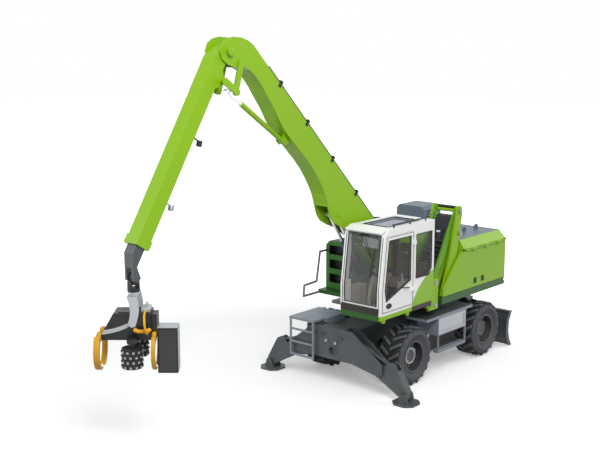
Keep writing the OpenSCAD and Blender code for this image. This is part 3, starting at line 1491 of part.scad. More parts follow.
module inner_stick() {
    lo = stick_off - inner_d / 2;
    hi = stick_off + inner_d / 2;
    color(silver) place() stick_frame() difference() {
        union() {
            translate([inner_start, -inner_w / 2, lo]) cube([stick_len + plate - inner_start, inner_w,
                inner_d]);
            side_plate([[stick_len + over, hi], [stick_len + collar_l, hi],
                [tip_at[0] + tip_r * 1.2, tip_at[1] + tip_r * 0.6],
                [tip_at[0] + tip_r, tip_at[1] - tip_r * 0.7],
                [tip_at[0] - tip_r * 0.2, tip_at[1] - tip_r], [tip_at[0] - tip_r * 2, lo],
                    [stick_len + over, lo]], inner_w, 0);
        }
        // Fork round the swing link
        translate([tip_at[0] - tip_r * 2.2, -link_half_y - side_gap,
            tip_at[1] - tip_r * 4]) cube([tip_r * 8, (link_half_y + side_gap) * 2, tip_r * 6.2]);
        translate([inner_start - over, -inner_w / 2 + stick_skin,
            lo + stick_skin]) cube([stick_len - inner_start, inner_w - stick_skin * 2,
            inner_d - stick_skin * 2]);
    }
    color(silver) place() stick_frame() pin_y(tip_at[0], 0, tip_at[1], tip_pin, inner_w);
}

// Hanging pieces, in a frame at the swing pin with its length along the feed line
swing_drop = 75;
swing_r = 48;
rotator_top = 168;
rotator_h = 60;
rotator_d = 200;
rotator_shaft_r = 60;
rotator_shaft_h = 38;
rotator_ear_r = 42;
flange_gap = 6;
tilt_drop = 690;
bracket_t = 46;
bracket_y = head_w / 2 + side_gap + bracket_t / 2;
bracket_half = 75;
bracket_foot = 62;
bracket_bow = 40;
tilt_r = 40;
tilt_boss = 40;
rotator_low = rotator_top + rotator_h;

module hang_frame() {
    translate(tip_point) rotate([0, 0, head_turn]) children();
}

module swing_link() {
    color(black) place() translate(tip_point) difference() {
        block([-link_half_x, -link_half_y, -swing_drop - swing_r], [link_half_x, link_half_y, swing_r]);
        pin_y(0, 0, 0, tip_pin + pin_fit * 2, link_half_y * 3);
        pin_x(0, 0, -swing_drop, tip_pin + pin_fit * 2, link_half_x * 3);
    }
}

module rotator() {
    color(black) place() translate(tip_point) difference() {
        union() {
            translate([0, 0, -rotator_low]) cylinder(d = rotator_d, h = rotator_h);
            for (e = [-1, 1]) {
                block([e * (link_half_x + side_gap + plate / 2) - plate / 2, -rotator_ear_r,
                    -rotator_top - over],
                    [e * (link_half_x + side_gap + plate / 2) + plate / 2, rotator_ear_r, -swing_drop]);
                pin_x(e * (link_half_x + side_gap + plate / 2), 0, -swing_drop, rotator_ear_r * 2, plate);
            }
            pin_x(0, 0, -swing_drop, tip_pin, (link_half_x + side_gap + plate) * 2);
        }
        translate([0, 0, -rotator_low - over]) cylinder(r = rotator_shaft_r + pin_fit,
            h = rotator_shaft_h + side_gap + over);
    }
}

// Outline of one arm of the bracket, bowed towards the saw, from its top to the tilt pin
function bracket_edge(side, top, n) = [for (i = [0:n]) let (f = i / n)
    [-bracket_bow * sin(180 * f) + side * (bracket_half * (1 - f) + bracket_foot * f),
        top * (1 - f) - tilt_drop * f]];
function bracket_outline(top, n = 12) = let (far = bracket_edge(1, top, n))
    concat(bracket_edge(-1, top, n), [for (i = [n:-1:0]) far[i]]);

module bracket() {
    top = -rotator_low - flange_gap;
    color(silver) place() hang_frame() {
        translate([0, 0, top - plate]) cylinder(d = rotator_d * 0.9, h = plate);
        translate([0, 0, top - over]) cylinder(r = rotator_shaft_r,
            h = rotator_shaft_h + flange_gap + over);
        block([-bracket_half, -bracket_y - bracket_t / 2, top - plate * 2],
            [bracket_half, bracket_y + bracket_t / 2, top - plate + over]);
        for (s = [-1, 1]) {
            side_plate(bracket_outline(top - plate), bracket_t, s * bracket_y);
            pin_y(0, s * bracket_y, -tilt_drop, bracket_foot * 2, bracket_t);
            pin_y(0, s * (bracket_y - tilt_boss / 2), -tilt_drop, tilt_r * 2, bracket_t + tilt_boss);
        }
    }
}

// Harvester head sizes, in the hanging frame lowered to the tilt pins
frame_front = 490;
frame_back = -280;
frame_nose_x = 300;
frame_nose_z = -180;
frame_top = 150;
frame_low = -280;
spine_low = -150;
saw_front = -370;
saw_back = -690;
saw_half = 130;
saw_top = -100;
saw_low = -840;
saw_skin = 12;
knife_pin = 56;
knife_pin_y = 150;
knife_pin_z = -220;
knife_t = 40;
knife_r = 300;
knife_band = 80;
knife_gap = 12;
roller_y = 330;
roller_w = 320;
roller_top = -360;
roller_shaft_r = 50;
roller_arm_t = 70;
spike_h = 22;
spike_w = 34;
spike_n = 12;
spike_rows = 4;
hose_d = 60;
hose_r = 110;
hose_x = -150;
hose_z = -110;

module head_place() {
    place() hang_frame() translate([0, 0, -tilt_drop]) children();
}

// Side outline of the head
function head_outline() = [[frame_back, frame_low], [frame_front, frame_low], [frame_front, frame_nose_z],
    [frame_nose_x, frame_top], [frame_back, frame_top]];

module head_frame() {
    color(slate) head_place() {
        difference() {
            side_plate(head_outline(), head_w, 0);
            // Open channel for the stem
            side_plate(inset(head_outline(), plate), head_w - plate * 2, 0);
            block([frame_back + plate, -head_w / 2 + plate, frame_low - over],
                [frame_front - plate, head_w / 2 - plate, frame_low + plate + over]);
            pin_y(0, 0, 0, (tilt_r + pin_fit) * 2, head_w + over);
        }
        // Spine and saw box, open below
        block([saw_front - over, -saw_half, spine_low], [frame_back + over, saw_half, frame_top - plate]);
        difference() {
            block([saw_back, -saw_half, saw_low], [saw_front, saw_half, saw_top]);
            block([saw_back + saw_skin, -saw_half + saw_skin, saw_low - over],
                [saw_front - saw_skin, saw_half - saw_skin, saw_top - saw_skin]);
        }
        for (s = [-1, 1]) {
            pin_x(frame_front + knife_t, s * knife_pin_y, knife_pin_z, knife_pin, knife_t * 2.4);
            pin_x(frame_back - knife_t, s * knife_pin_y, knife_pin_z, knife_pin, knife_t * 2.2);
            side_block(s, -roller_arm_t, roller_arm_t, head_w / 2 - over, roller_y + roller_arm_t,
                frame_low, frame_low + roller_arm_t);
            translate([0, s * roller_y, roller_top - roller_w * 0.8]) cylinder(r = roller_shaft_r,
                h = frame_low - roller_top + roller_w * 0.8 + over);
        }
    }
}

module head_hose() {
    color(yellow) head_place() translate([hose_x, head_w / 2,
        hose_z]) rotate_extrude(angle = 180) translate([hose_r, 0]) circle(d = hose_d);
}

module knife(x0, side) {
    steps_n = 10;
    from = 75;
    turn = -167;
    taper_share = 0.7;
    mid_r = knife_r - knife_band / 2;
    centre = [knife_pin_y - mid_r * cos(from), knife_pin_z - mid_r * sin(from)];
    outer = [for (i = [0:steps_n]) centre + knife_r * [cos(from + turn * i / steps_n),
        sin(from + turn * i / steps_n)]];
    inner = [for (i = [steps_n:-1:0]) centre + (knife_r - knife_band * (1 - taper_share * i / steps_n))
        * [cos(from + turn * i / steps_n), sin(from + turn * i / steps_n)]];
    hand(side) difference() {
        union() {
            cross_plate(concat(outer, inner), knife_t, x0);
            pin_x(x0 + knife_t / 2, knife_pin_y, knife_pin_z, knife_pin * 1.9, knife_t);
        }
        pin_x(x0 + knife_t / 2, knife_pin_y, knife_pin_z, knife_pin + pin_fit * 2, knife_t + over);
    }
}

module knives_left() {
    color(yellow) head_place() {
        knife(frame_front + knife_gap, 1);
        knife(saw_front + knife_gap, 1);
    }
}

module knives_right() {
    color(yellow) head_place() {
        knife(frame_front + knife_gap, -1);
        knife(saw_front + knife_gap, -1);
    }
}

// Feed roller with rings of spikes
module roller(s) {
    cap_share = 0.18;
    color(black) head_place() translate([0, s * roller_y, roller_top - roller_w]) difference() {
        union() {
            cylinder(d = roller_d - spike_h * 2, h = roller_w);
            for (k = [0:spike_rows - 1], i = [0:spike_n - 1])
                rotate([0, 0, (i + k / 2) * 360 / spike_n]) translate([roller_d / 2 - spike_h * 2,
                    -spike_w / 2, spike_w / 2 + k * roller_w / spike_rows])
                    cube([spike_h * 2 - over, spike_w, spike_w]);
        }
        translate([0, 0, roller_w * cap_share]) cylinder(r = roller_shaft_r + pin_fit, h = roller_w);
    }
}

module roller_left() {
    roller(1);
}

module roller_right() {
    roller(-1);
}

chassis();
axles();
steps();
knuckle_left();
knuckle_right();
tyre_front_left();
tyre_front_right();
tyre_rear_left();
tyre_rear_right();
rim_front_left();
rim_front_right();
rim_rear_left();
rim_rear_right();
leg_left();
leg_right();
foot_left();
foot_right();
leg_barrels();
leg_rod_left();
leg_rod_right();
blade();
blade_barrels();
blade_rods();
upper_frame();
engine_housing();
engine();
counterweight();
engine_door();
tank();
handrail();
lift_arms();
lift_links();
cab_barrel();
cab_rod();
cab_base();
cab_shell();
cab_glass();
cab_door();
door_glass();
cab_trim();
seat();
boom();
boom_pipes();
lift_barrels();
lift_rods();
stick_barrel();
stick_rod();
rocker();
coupler();
stick();
inner_stick();
swing_link();
rotator();
bracket();
head_frame();
head_hose();
knives_left();
knives_right();
roller_left();
roller_right();
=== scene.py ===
import math
from functools import partial

import bpy
from mathutils import Matrix, Vector


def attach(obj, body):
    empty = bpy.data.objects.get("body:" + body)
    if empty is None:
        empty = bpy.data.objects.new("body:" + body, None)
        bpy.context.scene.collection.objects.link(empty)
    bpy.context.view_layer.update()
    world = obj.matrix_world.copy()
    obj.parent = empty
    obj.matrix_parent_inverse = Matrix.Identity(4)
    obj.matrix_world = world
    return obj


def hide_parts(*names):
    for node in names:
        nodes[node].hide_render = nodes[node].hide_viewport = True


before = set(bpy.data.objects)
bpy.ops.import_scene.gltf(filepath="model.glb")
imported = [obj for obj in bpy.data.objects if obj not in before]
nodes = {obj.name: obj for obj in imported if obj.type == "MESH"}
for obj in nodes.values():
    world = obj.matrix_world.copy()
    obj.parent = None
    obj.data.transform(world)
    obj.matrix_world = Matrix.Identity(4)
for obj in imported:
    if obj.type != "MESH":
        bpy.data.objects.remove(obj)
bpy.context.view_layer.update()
print("frame loaded:", len(nodes), "solids")

midX = 2.85  # the slewing axis lies this far behind the origin
axleX, axleZ = 1.305, 0.585  # half the wheelbase, and the height of the axle lines
doorSide, innerSide = 1.25, 0.31  # outer faces of the cab's two sides


def at(x, y, z):  # point measured from the slewing axis
    return Vector((x - midX, y, z))


# the head hangs turned about its pin
headPin = at(7.3506, 0, 2.380)
headAlong, headSide = Vector((0.6561, -0.7547, 0)), Vector((0.7547, 0.6561, 0))


def headAt(x, y, z):  # point in the head's own turned frame
    return headPin + headAlong * x + headSide * y + Vector((0, 0, z))


# camera, at the photograph's angle
view = {"place": at(18.049, 12.704, 6.891), "yaw": 0.713, "pitch": 0.183, "lens": 64.44, "sensor": 36,
        "reach": 200}


def addCamera():
    bpy.ops.object.select_all(action="DESELECT")
    bpy.ops.object.camera_add(location=view["place"])
    cam = bpy.context.object
    cam.name = "viewCamera"
    cam.data.lens = view["lens"]
    cam.data.sensor_width = view["sensor"]
    cam.data.clip_end = view["reach"]
    flat = math.cos(view["pitch"])
    aim = Vector((-math.cos(view["yaw"]) * flat, -math.sin(view["yaw"]) * flat, -math.sin(view["pitch"])))
    cam.rotation_euler = aim.to_track_quat("-Z", "Y").to_euler()
    bpy.context.scene.camera = cam


addCamera()
print("camera set")

# light and floor
studio = {
    "skyColor": (0.95, 0.975, 1.0), "sky": 0.44, "target": (0, 0, 2),
    "lamps": [  # name, place, size, power, colour
        ("keyLamp", (9, 11, 13), 7, 1900, (1, 0.985, 0.96)),
        ("fillLamp", (13, -8, 7), 8, 520, (0.95, 0.98, 1)),
        ("rimLamp", (-11, 5, 9), 7, 380, (1, 1, 1)),
    ],
    "floorSize": 160, "floorZ": -0.003, "paper": (0.90, 0.90, 0.90), "bounce": (0.30, 0.30, 0.30),
    "lift": 0.30, "fade": (5, 12),
}


def addLamp(name, place, size, power, color):
    bpy.ops.object.light_add(type="AREA", location=place)
    lamp = bpy.context.object
    lamp.name = name
    lamp.data.size = size
    lamp.data.energy = power
    lamp.data.color = color
    aim = Vector(studio["target"]) - Vector(place)
    lamp.rotation_euler = aim.to_track_quat("-Z", "Y").to_euler()


def mathNode(tree, how, a, b=None):
    node = tree.nodes.new("ShaderNodeMath")
    node.operation = how
    for socket, value in zip(node.inputs, (a, b)):
        if isinstance(value, (int, float)):
            socket.default_value = value
        elif value is not None:
            tree.links.new(value, socket)
    return node.outputs[0]


def setInputs(node, values):
    for label, value in values.items():
        node.inputs[label].default_value = value
    return node


def vectorNode(tree, how, a, b=None):
    node = tree.nodes.new("ShaderNodeVectorMath")
    node.operation = how
    tree.links.new(a, node.inputs[0])
    if b is not None:
        tree.links.new(b, node.inputs["Scale" if how == "SCALE" else 1])
    return node


def objectPlace(tree):
    return tree.nodes.new("ShaderNodeTexCoord").outputs["Object"]


def newMaterial(name):
    mat = bpy.data.materials.new(name)
    mat.use_nodes = True
    return mat, mat.node_tree


def seenBy(tree):  # 1 for the rays that show the background: camera, mirror and glass
    path = tree.nodes.new("ShaderNodeLightPath")
    both = mathNode(tree, "MAXIMUM", path.outputs["Is Camera Ray"], path.outputs["Is Transmission Ray"])
    return mathNode(tree, "MAXIMUM", both, path.outputs["Is Glossy Ray"])


def mixShaders(tree, mask, first, second):
    mix = tree.nodes.new("ShaderNodeMixShader")
    for i, output in enumerate((mask, first, second)):
        tree.links.new(output, mix.inputs[i])
    return mix.outputs[0]


def addSky():
    world = bpy.data.worlds.new("studioSky")
    bpy.context.scene.world = world
    world.use_nodes = True
    tree = world.node_tree
    tree.nodes.clear()
    out = tree.nodes.new("ShaderNodeOutputWorld")
    sky, seen = tree.nodes.new("ShaderNodeBackground"), tree.nodes.new("ShaderNodeBackground")
    setInputs(sky, {"Color": (*studio["skyColor"], 1), "Strength": studio["sky"]})
    setInputs(seen, {"Color": (1, 1, 1, 1)})
    tree.links.new(mixShaders(tree, seenBy(tree), sky.outputs[0], seen.outputs[0]), out.inputs[0])


def addFloor():
    bpy.ops.mesh.primitive_plane_add(size=studio["floorSize"], location=(0, 0, studio["floorZ"]))
    floor = bpy.context.object
    floor.name = "studioFloor"
    mat, tree = newMaterial("floorPaper")
    tree.nodes.clear()
    out = tree.nodes.new("ShaderNodeOutputMaterial")
    reach = vectorNode(tree, "LENGTH", objectPlace(tree))
    fade = tree.nodes.new("ShaderNodeMapRange")  # the paper turns plain white away from the machine
    fade.interpolation_type = "SMOOTHSTEP"
    near, far = studio["fade"]
    setInputs(fade, {"From Min": near, "From Max": far, "To Min": studio["lift"], "To Max": 1.0})
    tree.links.new(reach.outputs["Value"], fade.inputs["Value"])
    glow = tree.nodes.new("ShaderNodeEmission")
    tree.links.new(mathNode(tree, "MULTIPLY", seenBy(tree), fade.outputs[0]), glow.inputs["Strength"])
    paper = setInputs(tree.nodes.new("ShaderNodeBsdfDiffuse"), {"Color": (*studio["paper"], 1)})
    both = tree.nodes.new("ShaderNodeAddShader")
    tree.links.new(paper.outputs[0], both.inputs[0])
    tree.links.new(glow.outputs[0], both.inputs[1])
    bounce = {"Color": (*studio["bounce"], 1)}  # what the floor throws back on the machine
    dim = setInputs(tree.nodes.new("ShaderNodeBsdfDiffuse"), bounce)
    tree.links.new(mixShaders(tree, seenBy(tree), dim.outputs[0], both.outputs[0]), out.inputs[0])
    floor.data.materials.append(mat)


addSky()
for lampPlan in studio["lamps"]:
    addLamp(*lampPlan)
addFloor()
bpy.context.scene.view_settings.view_transform = "Standard"
print("studio set")

# shared surface effects
socketKinds = {1: "NodeSocketFloat", 3: "NodeSocketVector", 4: "NodeSocketColor"}


def newGroup(name, ins, outs):  # ins are labels with their defaults, outs are labels with their kinds
    group = bpy.data.node_groups.new(name, "ShaderNodeTree")
    for label, start in ins.items():
        kind = socketKinds[len(start) if isinstance(start, tuple) else 1]
        socket = group.interface.new_socket(name=label, in_out="INPUT", socket_type=kind)
        socket.default_value = start
    for label, kind in outs.items():
        group.interface.new_socket(name=label, in_out="OUTPUT", socket_type=kind)
    return group, group.nodes.new("NodeGroupInput").outputs, group.nodes.new("NodeGroupOutput").inputs


def placeGroup(tree, group, values):
    node = tree.nodes.new("ShaderNodeGroup")
    node.node_tree = group
    return setInputs(node, values)


def offsetFrom(tree, point):  # object coordinates measured from a point
    return vectorNode(tree, "SUBTRACT", objectPlace(tree), point).outputs[0]


def splitAxes(tree, vector):
    node = tree.nodes.new("ShaderNodeSeparateXYZ")
    tree.links.new(vector, node.inputs[0])
    return node.outputs["X"], node.outputs["Y"], node.outputs["Z"]


def radiusOf(tree, a, b):
    squares = [mathNode(tree, "MULTIPLY", side, side) for side in (a, b)]
    return mathNode(tree, "SQRT", mathNode(tree, "ADD", *squares))


def noise(tree, scale, detail):
    node = setInputs(tree.nodes.new("ShaderNodeTexNoise"), {"Scale": scale, "Detail": detail})
    tree.links.new(objectPlace(tree), node.inputs["Vector"])
    return node.outputs[0]


def colorMix(tree, mask, under, over):  # each colour is a tuple or another node's output
    node = tree.nodes.new("ShaderNodeMix")
    node.data_type = "RGBA"
    tree.links.new(mask, node.inputs["Factor"])
    for socket, color in ((node.inputs[6], under), (node.inputs[7], over)):
        if isinstance(color, tuple):
            socket.default_value = (*color, 1)
        else:
            tree.links.new(color, socket)
    return node.outputs[2]


def makeWeather():  # dust that gathers low down and in patches, with a fine mottle over the paint
    tree, ins, outs = newGroup(
        "weather",
        {"Color": (0.5, 0.5, 0.5, 1), "Dust Color": (0.33, 0.29, 0.24, 1), "Dust": 0.15, "Dust Height": 1.4,
         "Mottle": 0.12, "Roughness": 0.4},
        {"Color": "NodeSocketColor", "Roughness": "NodeSocketFloat", "Height": "NodeSocketFloat"})
    calc = partial(mathNode, tree)
    patch, fine = noise(tree, 2.3, 6), noise(tree, 38, 4)
    x, y, z = splitAxes(tree, objectPlace(tree))
    low = calc("MAXIMUM", calc("SUBTRACT", 1.0, calc("DIVIDE", z, ins["Dust Height"])), 0.12)
    spot = calc("MULTIPLY", calc("SUBTRACT", patch, 0.36), 2.4)
    dust = calc("MULTIPLY", low, calc("MAXIMUM", spot, 0.0))
    dust = calc("MINIMUM", calc("MULTIPLY", dust, ins["Dust"]), 0.8)
    shade = calc("MULTIPLY", calc("SUBTRACT", fine, 0.5), ins["Mottle"])
    tint = vectorNode(tree, "SCALE", ins["Color"], calc("ADD", shade, 1.0))
    tree.links.new(colorMix(tree, dust, tint.outputs[0], ins["Dust Color"]), outs["Color"])
    film = calc("MULTIPLY", dust, 0.5)
    dull = calc("ADD", film, ins["Roughness"])
    tree.links.new(calc("ADD", dull, calc("MULTIPLY", fine, 0.06)), outs["Roughness"])
    tree.links.new(calc("ADD", film, fine), outs["Height"])
    return tree


def makeChequer():  # raised diamonds of tread plate, in both diagonal directions
    tree, ins, outs = newGroup("chequer", {"Pitch": 0.045}, {"Height": "NodeSocketFloat"})
    calc = partial(mathNode, tree)
    x, y, z = splitAxes(tree, objectPlace(tree))
    turn = calc("DIVIDE", math.tau, ins["Pitch"])
    waves = [calc("SINE", calc("MULTIPLY", calc(how, x, y), turn)) for how in ("ADD", "SUBTRACT")]
    bar = calc("MAXIMUM", calc("MULTIPLY", *waves), 0.0)
    tree.links.new(calc("POWER", bar, 0.5), outs["Height"])
    return tree


def newMask(name, ins, build):  # a group that puts out the mask that build works out
    tree, ins, outs = newGroup(name, ins, {"Mask": "NodeSocketFloat"})
    tree.links.new(build(tree, partial(mathNode, tree), ins), outs["Mask"])
    return tree


def boxMask(tree, calc, ins):  # 1 inside a box given by its two corners
    place = splitAxes(tree, objectPlace(tree))
    mask = 1.0
    for corner, how in (("Low", "GREATER_THAN"), ("High", "LESS_THAN")):
        for value, edge in zip(place, splitAxes(tree, ins[corner])):
            mask = calc("MULTIPLY", calc(how, value, edge), mask)
    return mask


def ringMask(tree, calc, ins):  # 1 between two radii about a wheel's axle line
    x, y, z = splitAxes(tree, objectPlace(tree))
    radius = radiusOf(tree, calc("SUBTRACT", x, ins["Axle X"]), calc("SUBTRACT", z, ins["Axle Z"]))
    inside = calc("LESS_THAN", radius, ins["Outer"])
    return calc("MULTIPLY", calc("GREATER_THAN", radius, ins["Inner"]), inside)


def postMask(tree, calc, ins):  # 1 outside a radius about an upright line
    x, y, z = splitAxes(tree, offsetFrom(tree, ins["Post"]))
    return calc("GREATER_THAN", radiusOf(tree, x, y), ins["Inner"])


def sweepMask(tree, calc, ins):  # pale band that sweeps down the side of the head's cover
    off = offsetFrom(tree, ins["Pin"])
    parts = []
    for line in (headAlong, headSide, Vector((0, 0, 1))):
        dot = vectorNode(tree, "DOT_PRODUCT", off)
        dot.inputs[1].default_value = line
        parts.append(dot.outputs["Value"])
    along, side, up = parts
    rest = calc("SUBTRACT", 1.0, calc("DIVIDE", along, ins["Reach"]))
    bow = calc("SUBTRACT", calc("MULTIPLY", rest, rest), 1.0)
    gap = calc("SUBTRACT", up, calc("MULTIPLY", bow, ins["Drop"]))
    mask = calc("LESS_THAN", calc("ABSOLUTE", gap), ins["Half"])
    mask = calc("MULTIPLY", mask, calc("GREATER_THAN", along, -0.02))
    return calc("MULTIPLY", mask, calc("GREATER_THAN", calc("ABSOLUTE", side), 0.18))


def swooshMask(tree, calc, ins):  # curved field at the lower rear of the cab's side
    x, y, z = splitAxes(tree, offsetFrom(tree, ins["Corner"]))
    shares = []
    for side, reach in ((x, "Length"), (z, "Rise")):
        part = calc("MAXIMUM", calc("DIVIDE", side, ins[reach]), 0.0)
        shares.append(calc("POWER", part, 1.5))
    under = calc("LESS_THAN", calc("ADD", *shares), 1.0)
    return calc("MULTIPLY", under, calc("GREATER_THAN", y, 0.04))


weather, chequer = makeWeather(), makeChequer()
zone = newMask("zone", {"Low": (-9, -9, -9), "High": (9, 9, 9)}, boxMask)
wheelBand = newMask("wheelBand", {"Axle X": 0.0, "Axle Z": axleZ, "Inner": 0.1, "Outer": 0.2}, ringMask)
postBand = newMask("postBand", {"Post": (0, 0, 0), "Inner": 0.1}, postMask)
headBand = newMask(
    "headBand", {"Pin": tuple(headPin), "Drop": 0.155, "Reach": 0.55, "Half": 0.034}, sweepMask)
swoosh = newMask("swoosh", {"Corner": (-2.05, 1.20, 1.60), "Length": 0.74, "Rise": 0.66}, swooshMask)

beyond = 9  # past the machine on any side


def box(low, high):  # a field's corners, measured from the slewing axis
    return {"Low": tuple(at(*low)), "High": tuple(at(*high))}


def layer(low, high):  # a field over everything between two heights
    return box((-beyond, -beyond, low), (beyond, beyond, high))


surface = {"ripple": 0.004, "coatRough": 0.12, "plateRelief": 14.0, "haze": 0.10, "glassSpec": 0.6}


def makeFinish(name, color, rough, metal=0.0, coat=0.0, dust=0.15, height=4.0, mottle=0.1, bump=0.02,
               spec=0.5, fields=(), plateFrom=None):
    # fields are (group, values, color, metal): each paints its own colour where its mask is 1
    mat, tree = newMaterial(name)
    calc = partial(mathNode, tree)
    bsdf = tree.nodes["Principled BSDF"]
    wear = placeGroup(tree, weather, {
        "Color": (*color, 1), "Dust": dust, "Dust Height": height, "Mottle": mottle, "Roughness": rough})
    shown, shine = color, None
    for group, values, fieldColor, fieldMetal in fields:
        mask = placeGroup(tree, group, values).outputs["Mask"]
        shown = colorMix(tree, mask, shown, fieldColor)
        if fieldMetal:
            part = calc("MULTIPLY", mask, fieldMetal)
            shine = part if shine is None else calc("MAXIMUM", shine, part)
    if fields:
        tree.links.new(shown, wear.inputs["Color"])
    tree.links.new(wear.outputs["Color"], bsdf.inputs["Base Color"])
    tree.links.new(wear.outputs["Roughness"], bsdf.inputs["Roughness"])
    ripple = setInputs(tree.nodes.new("ShaderNodeBump"), {"Strength": bump, "Distance": surface["ripple"]})
    relief = wear.outputs["Height"]
    if plateFrom is not None:  # tread plate above this height
        above = placeGroup(tree, zone, layer(plateFrom, beyond)).outputs["Mask"]
        plate = calc("MULTIPLY", placeGroup(tree, chequer, {}).outputs["Height"], above)
        relief = calc("ADD", relief, calc("MULTIPLY", plate, surface["plateRelief"]))
    tree.links.new(relief, ripple.inputs["Height"])
    tree.links.new(ripple.outputs[0], bsdf.inputs["Normal"])
    setInputs(bsdf, {"Metallic": metal, "Coat Weight": coat, "Coat Roughness": surface["coatRough"],
                     "Specular IOR Level": spec})
    if shine is not None:
        tree.links.new(shine, bsdf.inputs["Metallic"])
    return mat


def makeGlass(name, color, alpha, panes):  # panes are (corners, color, alpha) fields that differ
    mat, tree = newMaterial(name)
    calc = partial(mathNode, tree)
    bsdf = tree.nodes["Principled BSDF"]
    film = calc("MULTIPLY", noise(tree, 3.0, 5), surface["haze"])
    tree.links.new(film, bsdf.inputs["Roughness"])
    tint, dense = color, calc("ADD", film, alpha)
    for corners, paneColor, paneAlpha in panes:
        mask = placeGroup(tree, zone, corners).outputs["Mask"]
        tint = colorMix(tree, mask, tint, paneColor)
        dense = calc("ADD", dense, calc("MULTIPLY", mask, paneAlpha - alpha))
    tree.links.new(dense, bsdf.inputs["Alpha"])
    tree.links.new(tint, bsdf.inputs["Base Color"])
    setInputs(bsdf, {"Specular IOR Level": surface["glassSpec"]})
    return mat


paint = {
    "lime": (0.258, 0.495, 0.006), "limeDark": (0.017, 0.092, 0.008), "slate": (0.046, 0.058, 0.067),
    "coverGrey": (0.112, 0.155, 0.205), "steelGrey": (0.034, 0.042, 0.048), "white": (0.95, 0.955, 0.955),
    "trim": (0.105, 0.098, 0.092), "black": (0.020, 0.021, 0.024), "deepBlack": (0.010, 0.011, 0.013),
}
limeGloss = {"coat": 0.06, "spec": 0.25}
cabGloss = {"coat": 0.08, "spec": 0.3, "dust": 0.04, "mottle": 0.03}
dullBlack = {"spec": 0.3, "dust": 0.12}

